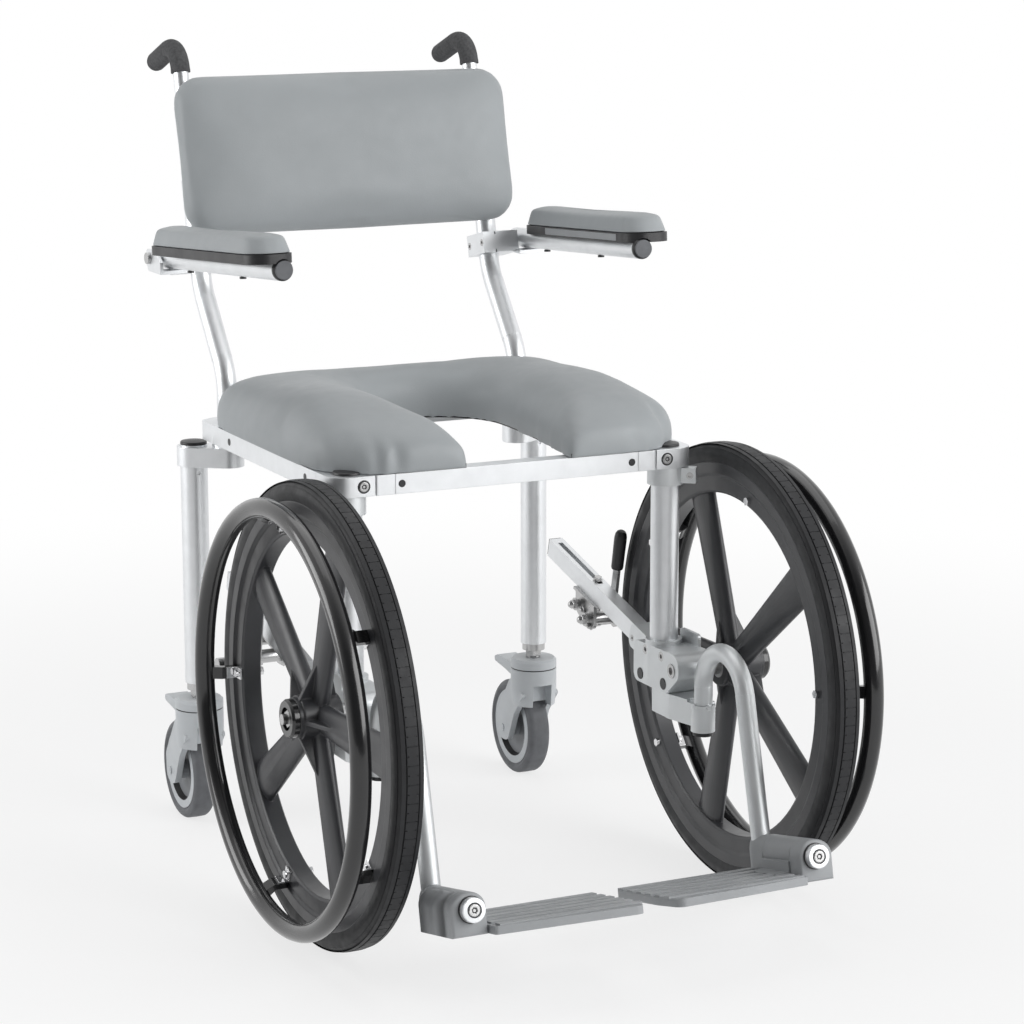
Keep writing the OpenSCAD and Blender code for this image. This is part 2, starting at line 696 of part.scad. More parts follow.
// Distance of the board's edge inside the pad's, at the opening and outside
board_in = 4;
board_out = 8;
board_z = seat_h + fit;
pad_z = board_z + seat_board_t + fit;

module seat_board() color(black) place() translate([0, 0, board_z]) linear_extrude(seat_board_t)
  difference() {
    let (inn = seat_inner(10), out = seat_outer(10), k = len(inn))
    polygon(concat([for (i = [k - 1 : -1 : 0]) grow(inn[i], out[i], board_in)],
      [for (i = [0 : k - 1]) grow(out[i], inn[i], board_out)],
      [for (i = [k - 2 : -1 : 0]) flip(grow(out[i], inn[i], board_out))],
      [for (i = [0 : k - 2]) flip(grow(inn[i], out[i], board_in))]));
    for (s = [-1, 1]) circle_at(s * front_leg_x, front_leg_y, front_cap_r + pass);
  }

function grow(a, b, d) = a + unit(b - a) * d;
function flip(p) = [-p[0], p[1]];

// Pad height above its base at the share s across from inner to outer edge, y along
function pad_top(y) = seat_t * (0.66 + 0.34 * smooth((y - seat_front) / pad_rise - 0.08))
  * (0.42 + 0.58 * sqrt(1 - pow(1 - min(1, max(0.01, (y - seat_front + 4) / pad_nose)), 2)));
function smooth(t) = let (u = min(1, max(0, t))) u * u * (3 - 2 * u);
// Cross profile: [share across, share of height]
seat_prof = [[0.035, 0], [0, 0.14], [0, 0.36], [0.03, 0.6], [0.1, 0.8], [0.24, 0.94], [0.5, 1],
  [0.76, 0.95], [0.9, 0.82], [0.97, 0.62], [1, 0.38], [1, 0.14], [0.965, 0]];

module seat_pad() color(vinyl) place() {
  inn = seat_inner(seat_n);
  out = seat_outer(seat_n);
  half = len(inn);
  m = len(seat_prof);
  inner = concat([for (p = inn) p], [for (i = [half - 2 : -1 : 0]) flip(inn[i])]);
  outer = concat([for (p = out) p], [for (i = [half - 2 : -1 : 0]) flip(out[i])]);
  k = len(inner);
  pts = [for (i = [0 : k - 1]) for (g = seat_prof)
    let (p = inner[i] + (outer[i] - inner[i]) * g[0]) [p[0], p[1], pad_z + pad_top(p[1]) * g[1]]];
  sides = [for (i = [0 : k - 2]) for (j = [0 : m - 1])
    let (a = i * m + j, b = i * m + (j + 1) % m) each [[a, b, b + m], [a, b + m, a + m]]];
  polyhedron(pts, concat(sides, [[for (j = [m - 1 : -1 : 0]) j]], [[for (j = [0 : m - 1]) (k - 1) * m + j]]));
}

// Lower bracket, foot receiver, slotted bar

// Flat tab that stands up from the bracket's outer side
tab_y = 16;
tab_w = 44;
tab_h = 14;
tab_t = 4;
lug_in = lock_bar_x - lock_bar_w - 4;
lug_out = lock_bar_x + 3;
lug_back = 14;
lug_fore = 52;
lug_hh = lock_bar_h / 2 + 4;

module on_bar() { translate([0, bar0_y, bar0_z]) rotate([lock_slope, 0, 0]) children(); }

module lower_brackets() color(grey_cast) both() difference() {
  union() {
    side_plate(brk_in, brk_out) polygon(rounded(
      [[-brk_fore, brk_top], [brk_aft, brk_top - 3], [brk_aft, brk_bot], [14, brk_bot],
       [-brk_fore, axle_z - 6]], [16, 9, 11, 8, 13]));
    side_plate(brk_out - tab_t, brk_out) polygon(rounded(
      [[tab_y, axle_z], [tab_y + tab_w, axle_z], [tab_y + tab_w, brk_top + tab_h],
       [tab_y, brk_top + tab_h]], [1, 1, 5, 5]));
    translate([front_leg_x, front_leg_y, brk_bot + 10]) cylinder(r = leg_r + 5, h = brk_top - brk_bot - 6);
    on_bar() side_plate(lug_in, lug_out) polygon(rounded(
      [[-lug_back, -lug_hh], [lug_fore, -lug_hh], [lug_fore, lug_hh], [-lug_back, lug_hh]], [1, 9, 9, 1]));
  }
  translate([front_leg_x, front_leg_y, leg_foot]) cylinder(r = leg_r + fit, h = 100);
  on_bar() translate([lock_bar_x - lock_bar_w - fit, -1, -lock_bar_h / 2 - fit])
    cube([lock_bar_w + 2 * fit, 90, lock_bar_h + 2 * fit]);
  translate([0, 0, axle_z]) rod_x(axle_d / 2 + fit, brk_in - 1, brk_out + 1);
  translate([0, 0, axle_z]) rod_x(8.5 + fit, brk_in - 1, brk_in + 4);
  on_brk_screws() screw_hole(6, 4, 3, 4);
  for (p = brk_plugs)
    translate([0, p[0], axle_z + p[1]]) rod_x(brk_plug_r + fit, brk_in - 1, brk_in + 3);
  on_bar() face_in(concat(lug_in, lug_screw)) screw_hole(4.2, 2, 1.5, 1.2);
}

module hanger_receivers() color(grey_cast) both() difference() {
  union() {
    translate([0, 0, sock_bot + 5]) linear_extrude(brk_bot - sock_bot - 5 - fit) polygon(rounded(
      [[brk_in + 4, 62], [brk_out - 2, 62], [brk_out - 2, 12], [socket_x + 10, -socket_fwd + 4],
       [socket_x - 10, -socket_fwd + 4], [brk_in + 4, 12]], [10, 10, 8, 1, 1, 8]));
    translate([socket_x, -socket_fwd, sock_bot]) cylinder(r = sock_r, h = sock_top - sock_bot);
  }
  translate([socket_x, -socket_fwd, sock_bot + 2]) cylinder(r = neck_r + pass, h = 200);
  translate([socket_x, -socket_fwd, sock_top]) cylinder(r = sock_r + 6, h = 20);
  translate([socket_x, -socket_fwd, sock_top - 1]) for (a = [0, 90]) rotate([0, 0, a]) {
    rod_x(3 + pass, -sock_r - 1, sock_r + 1);
    translate([-sock_r - 1, -3 - pass, 0]) cube([2 * sock_r + 2, 6 + 2 * pass, 10]);
  }
}

module brake_bars() color(silver) both() on_bar() difference() {
  translate([lock_bar_x - lock_bar_w, 0, -lock_bar_h / 2]) cube([lock_bar_w, lock_bar_len, lock_bar_h]);
  translate([bar_mid_x - 3.2, slot_0, -lock_bar_h]) cube([6.4, lock_bar_len - 12 - slot_0, 2 * lock_bar_h]);
}

// Place of the lock mount along the bar, under the lever's pivot
mount_s = (lever_y - bar0_y) / cos(lock_slope) + 6;
mount_in = lug_in - 1;
// Front end of the slot, just before the mount's bolt
slot_0 = mount_s - 9;

// Height of the mount's flange under the bar at y
function bar_under(y) = bar0_z + (y - bar0_y) * tan(lock_slope) - bar_seat;

module brake_mounts() color(steel) both() {
  on_bar() translate([mount_in, mount_s - 24, -lock_bar_h / 2 - 3.6])
    cube([lock_bar_x - mount_in - 1, 58, 3.5]);
  side_plate(mount_in, mount_in + 4) polygon(rounded(
    [[lever_y - 14, lever_z - 12], [lever_y + 10, lever_z - 12], [link_y + 10, link_z - 9],
     [link_y + 10, bar_under(link_y + 10)], [lever_y - 14, bar_under(lever_y - 14)]], [8, 8, 6, 1, 1]));
  on_bar() translate([bar_mid_x, mount_s, 0]) {
    translate([0, 0, lock_bar_h / 2 + 0.05]) cylinder(r = 6, h = 1.2);
    translate([0, 0, lock_bar_h / 2 + 1]) cylinder(r = 5, h = 4.2, $fn = 6);
    translate([0, 0, -lock_bar_h / 2 - 1]) cylinder(r = 2.9, h = lock_bar_h + 3);
  }
  translate([0, lever_y, lever_z]) {
    rod_x(4, mount_in - 3, lever_x + 4);
    rod_x(7, mount_in - 6, mount_in + 1);
    rod_x(6, lever_x + 2.4, lever_x + 4.5);
  }
  translate([0, link_y, link_z]) {
    rod_x(3.5, mount_in - 3, lock_bar_x + 4);
    rod_x(6, mount_in - 6, mount_in + 1);
    rod_x(6, lock_bar_x + 2.5, lock_bar_x + 5);
  }
}

hub_in_x = wheel_x - hub_in;
hub_out_x = wheel_x + hub_out;

module wheel_axles() color(steel) both() translate([0, 0, axle_z]) {
  difference() {
    rod_x(8.5, brk_in - 1, brk_in + 4);
    rod_x(4.5, brk_in - 2, brk_in + 2);
  }
  rod_x(axle_d / 2, brk_in + 3, hub_out_x + hub_cap_h + 5);
  rod_x(axle_d / 2 + 4, brk_out + fit, hub_in_x - pass);
  translate([hub_out_x + pass, 0, 0]) rotate([0, 90, 0]) cylinder(r = 10, h = 7, $fn = 6);
}

module caster_stems() color(steel) both() translate([rear_leg_x, rear_leg_y, 0]) {
  translate([0, 0, caster_h - 26]) cylinder(r = stem_d / 2, h = rear_bot - caster_h + 34);
  translate([0, 0, caster_h + pass]) cylinder(r = stem_d / 2 + 3, h = 2);
  translate([0, 0, caster_h + 3]) cylinder(r = stem_d / 2 + 5, h = 7, $fn = 6);
  translate([0, 0, rear_bot - 9]) cylinder(r = leg_r - 2, h = 9 - fit);
  translate([0, 0, rear_bot - 1]) cylinder(r = leg_in - fit, h = 12);
}

// Drive wheel, drawn round Z with +Z away from the chair, first spoke along X

module on_wheel(turn) {
  translate([wheel_x, 0, axle_z]) rotate([180, -90, 0]) rotate([0, 0, -turn]) children();
}

bearing_r = 14;
bearing_h = 8;

module spoke() {
  hull() {
    translate([hub_r - 6, 0, 0]) rotate([0, 90, 0]) linear_extrude(1)
      scale([spoke_t / 2 + 2, spoke_root_w / 2]) circle(r = 1, $fn = 28);
    translate([rim_in + 3, 0, 0]) rotate([0, 90, 0]) linear_extrude(1)
      scale([spoke_t / 2, spoke_tip_w / 2]) circle(r = 1, $fn = 28);
  }
}

module fin() {
  rotate([90, 0, 0]) translate([0, 0, -2.5]) linear_extrude(5)
    polygon([[hub_r - 4, 0], [hub_r - 4, hub_out - 3], [hub_r + 52, spoke_t / 2 - 2], [hub_r + 52, 0]]);
}

module drive_wheel(turn) color(charcoal) on_wheel(turn) difference() {
  union() {
    rotate_extrude($fn = 96) polygon([[rim_in, -rim_hw + 5], [rim_in + 3, -rim_hw + 3],
      [rim_in + 19, -rim_hw + 3], [rim_in + 23, -rim_hw], [rim_out + 3, -rim_hw],
      [rim_out + 3, -rim_hw + 2.5], [rim_out - 2, -rim_hw + 2.5], [rim_out - 2, rim_hw - 2.5],
      [rim_out + 3, rim_hw - 2.5], [rim_out + 3, rim_hw], [rim_in + 23, rim_hw],
      [rim_in + 19, rim_hw - 3], [rim_in + 3, rim_hw - 3], [rim_in, rim_hw - 5]]);
    translate([0, 0, -hub_in]) cylinder(r = hub_r - 2, h = hub_in + hub_out);
    translate([0, 0, -hub_in + 4]) cylinder(r = hub_r, h = hub_in + hub_out - 9);
    for (k = [0 : 4]) rotate([0, 0, 72 * k]) {
      spoke();
      fin();
      mirror([0, 0, 1]) translate([0, 0, hub_out - hub_in - 9]) fin_low();
    }
  }
  translate([0, 0, -hub_in - 1]) cylinder(r = bearing_r + fit, h = bearing_h + 1);
  translate([0, 0, hub_out - bearing_h]) cylinder(r = bearing_r + fit, h = bearing_h + 1);
  translate([0, 0, -hub_in - 1]) cylinder(r = axle_d / 2 + 3, h = hub_in + hub_out + 2);
}

module fin_low() {
  rotate([90, 0, 0]) translate([0, 0, -2.5]) linear_extrude(5)
    polygon([[hub_r - 4, 0], [hub_r - 4, hub_in - 1], [hub_r + 40, spoke_t / 2], [hub_r + 40, 0]]);
}

module drive_tyre(turn) color(charcoal) on_wheel(turn) rotate_extrude($fn = 96) difference() {
  polygon(concat(
    [[rim_out - 2 + fit, -rim_hw + 2.5 + fit], [rim_out + 3, -rim_hw + 2.5 + fit],
     [rim_out + 3 + fit, -rim_hw - 0.5]],
    [for (a = [-75 : 15 : 75]) tyre_arc(a)],
    [[rim_out + 3 + fit, rim_hw + 0.5], [rim_out + 3, rim_hw - 2.5 - fit],
     [rim_out - 2 + fit, rim_hw - 2.5 - fit]]));
  for (z = [-4, 4]) translate([wheel_r - 1.4, z - 1]) square([5, 2]);
}

// Point of the tyre's round outside, a = 0 on the tread's middle
function tyre_arc(a) = let (h = tyre_h - 6)
  [wheel_r - h + h * sign(cos(a)) * pow(abs(cos(a)), 0.7), tyre_w / 2 * sign(a) * pow(abs(sin(a)), 0.75)];

// Foot of a handrim's stand-off: it stands beside its rim clip and leans away above it
post_w = 7;
post_h = clip_rise - 3 + fit + pass + post_w / 2;

module wheel_handrim(turn) color(black) on_wheel(turn) {
  rotate_extrude($fn = 96) translate([handrim_r, handrim_x]) circle(r = handrim_d / 2);
  for (k = [0 : 4]) rotate([0, 0, 36 + 72 * k]) rotate([90, 0, 0]) translate([0, 0, -7]) linear_extrude(14) {
    translate([step_out + clip_t, rim_hw]) square([post_w, post_h]);
    strap([step_out + clip_t + post_w / 2, rim_hw + post_h], post_w / 2,
      [handrim_r, handrim_x - 3], 6);
  }
}

module rim_clips(turn) color(steel) on_wheel(turn) for (k = [0 : 4]) rotate([0, 0, 36 + 72 * k]) {
  translate([clip_r - 7, -clip_w / 2, rim_hw - 3 + fit]) cube([step_out + 2 - clip_r + 7, clip_w, clip_t]);
  translate([step_out, -clip_w / 2, rim_hw - 3 + fit]) cube([clip_t - fit, clip_w, clip_rise]);
  translate([clip_r, 0, rim_hw - 1]) cylinder(r = 4.2, h = 4);
  translate([clip_r, 0, -rim_hw + 3 - fit - 4]) cylinder(r = 5, h = 4, $fn = 6);
}

module hub_cap(turn) color(black) on_wheel(turn) translate([0, 0, hub_out + fit])
  rotate_extrude() polygon([[13, 0], [hub_r - 3, 0], [hub_r - 3, hub_cap_h - 3], [hub_r - 5, hub_cap_h],
    [13, hub_cap_h]]);

module wheel_bearings(turn) color(steel) on_wheel(turn) for (z = [-hub_in, hub_out - bearing_h])
  translate([0, 0, z]) difference() {
    cylinder(r = bearing_r, h = bearing_h);
    translate([0, 0, -1]) cylinder(r = axle_d / 2 + run, h = bearing_h + 2);
  }

// Casters

module on_caster() { translate([rear_leg_x, rear_leg_y, 0]) children(); }

fork_in = caster_w / 2 + 2;
fork_out = fork_in + 8;
caster_axle = 5;
pedal_y = 20;
pedal_z = caster_h - 25;

module caster_fork() color(grey_cast) on_caster() difference() {
  union() {
    rotate_extrude() polygon([[0, caster_h - 62], [hood_r - 2, caster_h - 62], [hood_r, caster_h - 40],
      [hood_r, caster_h - 14], [hood_r - 1, caster_h - 13.5], [hood_r - 1, caster_h - 12.5],
      [hood_r, caster_h - 12], [hood_r, caster_h - 3], [hood_r - 3, caster_h], [0, caster_h]]);
    side_plate(-fork_out, fork_out) polygon(rounded(
      [[-22, caster_h - 45], [18, caster_h - 30], [caster_trail + 16, caster_r + 20],
       [caster_trail + 14, caster_r - 16], [caster_trail - 15, caster_r - 15],
       [caster_trail - 34, caster_r + 26]],
      [3, 3, 12, 15, 15, 12]));
  }
  translate([0, caster_trail, caster_r]) rod_x(caster_r + 3.5, -fork_in, fork_in);
  translate([-fork_in, -10, 0]) cube([2 * fork_in, 100, caster_r + 30]);
  translate([-13, -hood_r - 1, caster_h - 63]) cube([26, hood_r - 8, 30]);
  translate([-14, 6, caster_h - 37]) cube([28, 60, 24]);
  translate([0, 0, caster_h - 30]) cylinder(r = stem_d / 2 + run, h = 40);
}

module caster_fork_pins() color(grey_cast) on_caster() {
  translate([0, caster_trail, caster_r]) rod_x(caster_axle, -fork_out - 1.5, fork_out + 1.5);
  translate([0, pedal_y, pedal_z]) rod_x(3, -16, 16);
}

module caster_pedal() color(grey_cast) on_caster() difference() {
  side_plate(-13.4, 13.4) polygon(rounded(
    [[12, pedal_z - 6], [12, pedal_z + 6], [30, pedal_z + 9], [pedal_len - 10, pedal_z + 11],
     [pedal_len, pedal_z + 7], [pedal_len - 2, pedal_z + 1], [60, pedal_z - 3], [34, pedal_z - 8]],
    [2, 3, 12, 3, 3, 2, 12, 3]));
  translate([0, pedal_y, pedal_z]) rod_x(3 + run, -20, 20);
}

rim_c = caster_r - 13;

module caster_wheel() color(grey_cast) on_caster() translate([0, caster_trail, caster_r]) rotate([0, 90, 0])
  rotate_extrude() polygon([[caster_axle + run, -caster_w / 2], [12, -caster_w / 2], [12, -6],
    [rim_c - 12, -6], [rim_c - 10, -caster_w / 2 + 3], [rim_c, -caster_w / 2 + 3], [rim_c, caster_w / 2 - 3],
    [rim_c - 10, caster_w / 2 - 3], [rim_c - 12, 6], [12, 6], [12, caster_w / 2],
    [caster_axle + run, caster_w / 2]]);

module caster_tyre() color(charcoal) on_caster() translate([0, caster_trail, caster_r]) rotate([0, 90, 0])
  rotate_extrude() polygon(concat([[rim_c + fit, -caster_w / 2 + 4]],
    [for (a = [-90 : 15 : 90]) [caster_r - 8 + 8 * cos(a), (caster_w / 2 - 8) * sign(a) + 7 * sin(a)]],
    [[rim_c + fit, caster_w / 2 - 4]]));

// Arms

module on_arm() {
  on_pivot() rotate([-arm_rise, 0, 0]) children();
}

module arm_tube() color(silver) difference() {
  on_arm() rotate([90, 0, 0]) rotate_extrude() polygon(concat([[0, arm_len], [arm_r, arm_len]],
    [for (a = [90 : -15 : 0]) [arm_r * sin(a), -pivot_r - 3 - (arm_r - pivot_r - 3) * cos(a)]]));
  on_arm() rod_x(pivot_r + run, -40, 40);
}

tray_z = arm_r - 5;
pad_y0 = -arm_len - 6;
// Width of the tray's edge beyond the pad
tray_lip = 1.2;

module arm_trim() color(black) on_arm() {
  difference() {
    translate([arm_pad_shift, pad_y0 + arm_pad_len / 2, tray_z]) linear_extrude(arm_tray_h)
      polygon(round_rect(arm_pad_w / 2 + tray_lip, arm_pad_len / 2 + tray_lip, 25, 6));
    rod_y(arm_r + fit, -arm_len - 40, 20);
  }
  rotate_y_cap();
  for (y = [120, arm_pad_len - 40]) translate([0, pad_y0 + y, -arm_r - 2.6]) cylinder(r = 4, h = 2.5);
}

module rotate_y_cap() {
  translate([0, -arm_len - fit, 0]) rotate([90, 0, 0])
    rotate_extrude() polygon([[0, 0], [arm_r, 0], [arm_r, 3], [arm_r - 2, 6], [0, 7.5]]);
}

module arm_pad() color(vinyl) on_arm()
  translate([arm_pad_shift, pad_y0 + arm_pad_len / 2, tray_z + arm_tray_h + fit])
    pillow(arm_pad_w / 2, arm_pad_len / 2, 25, 6, [[2, 0], [0, arm_pad_h * 0.25], [0, arm_pad_h * 0.45],
      [2, arm_pad_h * 0.68], [6, arm_pad_h * 0.86], [12, arm_pad_h * 0.96], [18, arm_pad_h]]);

// Wheel locks

module on_lever() { translate([0, lever_y, lever_z]) rotate([lever_tilt, 0, 0]) children(); }

module brake_lever() color(steel) difference() {
  union() {
    translate([0, lever_y, lever_z]) rod_x(8, mount_in + 4 + pass, lever_x + 2);
    on_lever() side_plate(lever_x - 2, lever_x + 2) polygon(rounded(
      [[-7, -9], [7, -9], [5.5, lever_len - 10], [-5.5, lever_len - 10]], [6, 6, 1, 1]));
    on_lever() translate([lever_x, 0, lever_len - 46]) cylinder(r = 7, h = 44);
    on_lever() translate([lever_x, 0, lever_len - 2]) sphere(r = 7 - lap);
  }
  translate([0, lever_y, lever_z]) rod_x(4 + run, mount_in, lever_x + 10);
}

module brake_shoe() color(steel) difference() {
  union() {
    translate([0, link_y, link_z]) rod_x(7, mount_in + 4 + pass, lock_bar_x + 2);
    side_plate(lock_bar_x - 3, lock_bar_x + 2) polygon(rounded(
      [[link_y - 7, link_z + 5], [link_y + 7, link_z + 5], [shoe_y + 8, shoe_z - 6],
       [shoe_y - 6, shoe_z - 6]], [5, 5, 5, 5]));
    translate([0, shoe_y, shoe_z]) rod_x(5, lock_bar_x - 3, wheel_x + tyre_w / 2 - 2);
    translate([0, shoe_y, shoe_z]) rod_x(shoe_r, wheel_x - tyre_w / 2 + 1, wheel_x + tyre_w / 2 - 1);
  }
  translate([0, link_y, link_z]) rod_x(3.5 + run, mount_in, lock_bar_x + 20);
}

// Foot supports

neck_steps = [[neck_z - sock_bot - 2.3, -180 + down_slope, neck_bend], [down_len, 0, 0]];

module hanger() color(grey_cast) {
  translate([socket_x, -socket_fwd, sock_bot + 2.3]) bent(neck_steps, neck_r);
  translate([socket_x, -socket_fwd, sock_top - 1]) for (a = [0, 90])
    rotate([0, 0, a]) rod_x(3, -sock_r, sock_r);
}

// Foot frame: origin on the hinge line at the housing's front, +Y to the rear
module on_foot() { translate([foot_x, foot_y, foot_z]) rotate([-foot_tilt, 0, 0]) children(); }

module front_outline(y0, y1) { translate([0, y1, 0]) rotate([90, 0, 0]) linear_extrude(y1 - y0) children(); }

wall_out = foot_r + 4;
bolt_r = 5;
hang_off = socket_x - foot_x;

module foot_housing() color(plate_grey) difference() {
  on_foot() union() {
    front_outline(0, foot_len) polygon(concat(
      [for (a = [180 : -15 : 90]) foot_r * [cos(a), sin(a)]],
      [for (a = [75 : -15 : 0]) [wall_out * cos(a), foot_r * sin(a)]],
      [[wall_out, -plate_drop - plate_t], [-foot_r, -plate_drop - plate_t]]));
  }
  on_foot() translate([0, knuckle_1 + pass, 0]) rotate([90, 0, 0])
    linear_extrude(knuckle_1 - knuckle_0 + 2 * pass) union() {
      circle(r = foot_r + pass);
      translate([-60, -60]) square([60 + foot_r + pass, 60]);
      translate([-60, -60]) square([60, 100]);
    }
  on_foot() rod_y(bolt_r + fit, -1, foot_len - 30);
  translate([socket_x, -socket_fwd, sock_bot + 2.3]) bent(neck_steps, neck_r + fit);
}

module foot_bolt() color(steel) on_foot() {
  rod_y(bolt_r, -1, foot_len - 31);
  translate([0, -0.1, 0]) rotate([90, 0, 0]) rotate_extrude()
    polygon([[0, 0], [13.5, 0], [13.5, 2.5], [11, 3.5], [11, 7.5], [9, 9], [0, 9.6]]);
}

rib_n = 6;

module footplate() color(plate_grey) on_foot() difference() {
  union() {
    translate([0, 0, -plate_drop - plate_t]) linear_extrude(plate_t - 2) polygon(plate_outline);
    for (k = [0 : rib_n - 1]) let (y = plate_front + 22 + k * (plate_back - plate_front - 34) / (rib_n - 1))
      translate([plate_end + 1, y - 6, -plate_drop - 2.5]) cube([plate_out - plate_end - 6, 12, 2.5]);
    rod_y(foot_r, knuckle_0, knuckle_1);
    translate([plate_out - 18, knuckle_0, -plate_drop - plate_t])
      cube([16 - plate_out, knuckle_1 - knuckle_0, plate_t]);
    translate([plate_out - 1, knuckle_0, -plate_drop - 1]) cube([12, knuckle_1 - knuckle_0, plate_drop - 4]);
  }
  rod_y(bolt_r + run, knuckle_0 - 5, knuckle_1 + 5);
}

module right_wheel() { right() drive_wheel(right_spoke_turn); }
module right_tyre() { right() drive_tyre(right_spoke_turn); }
module right_handrim() { right() wheel_handrim(right_spoke_turn); }
module right_rim_clips() { right() rim_clips(right_spoke_turn); }
module right_hub_cap() { right() hub_cap(right_spoke_turn); }
module right_wheel_bearings() { right() wheel_bearings(right_spoke_turn); }
module right_caster_fork() { right() { caster_fork(); caster_fork_pins(); } }
module right_caster_pedal() { right() caster_pedal(); }
module right_caster_wheel() { right() caster_wheel(); }
module right_caster_tyre() { right() caster_tyre(); }
module right_arm_tube() { right() arm_tube(); }
module right_arm_trim() { right() arm_trim(); }
module right_arm_pad() { right() arm_pad(); }
module right_brake_lever() { right() brake_lever(); }
module right_brake_shoe() { right() brake_shoe(); }
module right_hanger() { right() hanger(); }
module right_foot_housing() { right() foot_housing(); }
module right_foot_bolt() { right() foot_bolt(); }
module right_footplate() { right() footplate(); }
module left_wheel() { left() drive_wheel(left_spoke_turn); }
module left_tyre() { left() drive_tyre(left_spoke_turn); }
module left_handrim() { left() wheel_handrim(left_spoke_turn); }
module left_rim_clips() { left() rim_clips(left_spoke_turn); }
module left_hub_cap() { left() hub_cap(left_spoke_turn); }
module left_wheel_bearings() { left() wheel_bearings(left_spoke_turn); }
module left_caster_fork() { left() { caster_fork(); caster_fork_pins(); } }
module left_caster_pedal() { left() caster_pedal(); }
module left_caster_wheel() { left() caster_wheel(); }
module left_caster_tyre() { left() caster_tyre(); }
module left_arm_tube() { left() arm_tube(); }
module left_arm_trim() { left() arm_trim(); }
module left_arm_pad() { left() arm_pad(); }
module left_brake_lever() { left() brake_lever(); }
module left_brake_shoe() { left() brake_shoe(); }
module left_hanger() { left() hanger(); }
module left_foot_housing() { left() foot_housing(); }
module left_foot_bolt() { left() foot_bolt(); }
module left_footplate() { left() footplate(); }

seat_cross_bars();
seat_rails();
front_corners();
rear_corners();
front_legs();
rear_legs();
leg_collars();
frame_caps();
frame_screws();
back_canes();
push_grips();
arm_clamps();
back_board();
back_pad();
seat_board();
seat_pad();
lower_brackets();
hanger_receivers();
brake_bars();
brake_mounts();
wheel_axles();
caster_stems();
right_wheel();
right_tyre();
right_handrim();
right_rim_clips();
right_hub_cap();
right_wheel_bearings();
right_caster_fork();
right_caster_pedal();
right_caster_wheel();
right_caster_tyre();
right_arm_tube();
right_arm_trim();
right_arm_pad();
right_brake_lever();
right_brake_shoe();
right_hanger();
right_foot_housing();
right_foot_bolt();
right_footplate();
left_wheel();
left_tyre();
left_handrim();
left_rim_clips();
left_hub_cap();
left_wheel_bearings();
left_caster_fork();
left_caster_pedal();
left_caster_wheel();
left_caster_tyre();
left_arm_tube();
left_arm_trim();
left_arm_pad();
left_brake_lever();
left_brake_shoe();
left_hanger();
left_foot_housing();
left_foot_bolt();
left_footplate();
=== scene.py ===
"""Looks of the shower commode chair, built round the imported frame. Metres, +Z up, the chair faces -Y."""
import json
import math

import bmesh
import bpy
import numpy as np
from mathutils import Matrix, Vector
from mathutils.bvhtree import BVHTree


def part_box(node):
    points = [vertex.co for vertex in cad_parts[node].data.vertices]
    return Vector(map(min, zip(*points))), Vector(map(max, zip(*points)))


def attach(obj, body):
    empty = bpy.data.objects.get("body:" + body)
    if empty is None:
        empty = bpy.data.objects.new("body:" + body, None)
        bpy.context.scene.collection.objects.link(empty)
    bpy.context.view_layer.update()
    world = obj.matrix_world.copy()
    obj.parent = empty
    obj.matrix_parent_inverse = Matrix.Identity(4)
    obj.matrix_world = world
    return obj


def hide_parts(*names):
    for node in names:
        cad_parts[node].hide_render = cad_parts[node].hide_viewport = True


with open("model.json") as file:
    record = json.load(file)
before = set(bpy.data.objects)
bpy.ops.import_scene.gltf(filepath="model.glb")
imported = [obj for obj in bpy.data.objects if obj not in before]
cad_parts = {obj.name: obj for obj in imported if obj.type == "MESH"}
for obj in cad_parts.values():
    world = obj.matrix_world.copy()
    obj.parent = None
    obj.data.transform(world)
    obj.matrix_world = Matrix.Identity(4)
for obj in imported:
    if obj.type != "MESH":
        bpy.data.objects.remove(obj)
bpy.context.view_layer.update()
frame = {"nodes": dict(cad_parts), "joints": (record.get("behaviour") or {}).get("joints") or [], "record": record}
NODES = frame["nodes"]
SLOT = {s["node"]: s["material_slot"] for s in frame["record"]["subparts"]}
JOINT = {j["name"]: j for j in frame["joints"]}
SIDES = (("left", 1), ("right", -1))
MM = 0.001

# Angles and one place that the solids have and the frame doesn't state
ARM_TOE, ARM_RISE = math.radians(2.2), math.radians(3.95)
BACK_LEAN = math.radians(13.4)
LEVER_LEAN = math.radians(12.5)
CORNER_SCREW_X = 0.1905


# Materials

NOISE_LOW, NOISE_HIGH = 0.3, 0.7      # most values of a noise texture lie between these


def shader(name, **values):
    """A new material and its principled shader, with plain values set on the shader's own sockets."""
    m = bpy.data.materials.new(name)
    m.use_nodes = True
    tree = m.node_tree
    bsdf = tree.nodes["Principled BSDF"]
    for key, value in values.items():
        bsdf.inputs[key.replace("_", " ")].default_value = value
    return m, tree, bsdf


def add(tree, kind, links=(), **values):
    """A node of that kind. Values set a socket or, with a small first letter, a property; links feed sockets."""
    n = tree.nodes.new("ShaderNode" + kind)
    for key, value in values.items():
        if key[0].islower():
            setattr(n, key, value)
        else:
            n.inputs[key.replace("_", " ")].default_value = value
    for socket, source in dict(links).items():
        tree.links.new(source, n.inputs[socket])
    return n


def place(tree):
    """Object coordinates."""
    return add(tree, "TexCoord").outputs["Object"]


def noise_range(tree, fac, low, high):
    """A noise texture's value, brought between two values."""
    return add(tree, "MapRange", {"Value": fac}, From_Min=NOISE_LOW, From_Max=NOISE_HIGH,
               To_Min=low, To_Max=high).outputs["Result"]


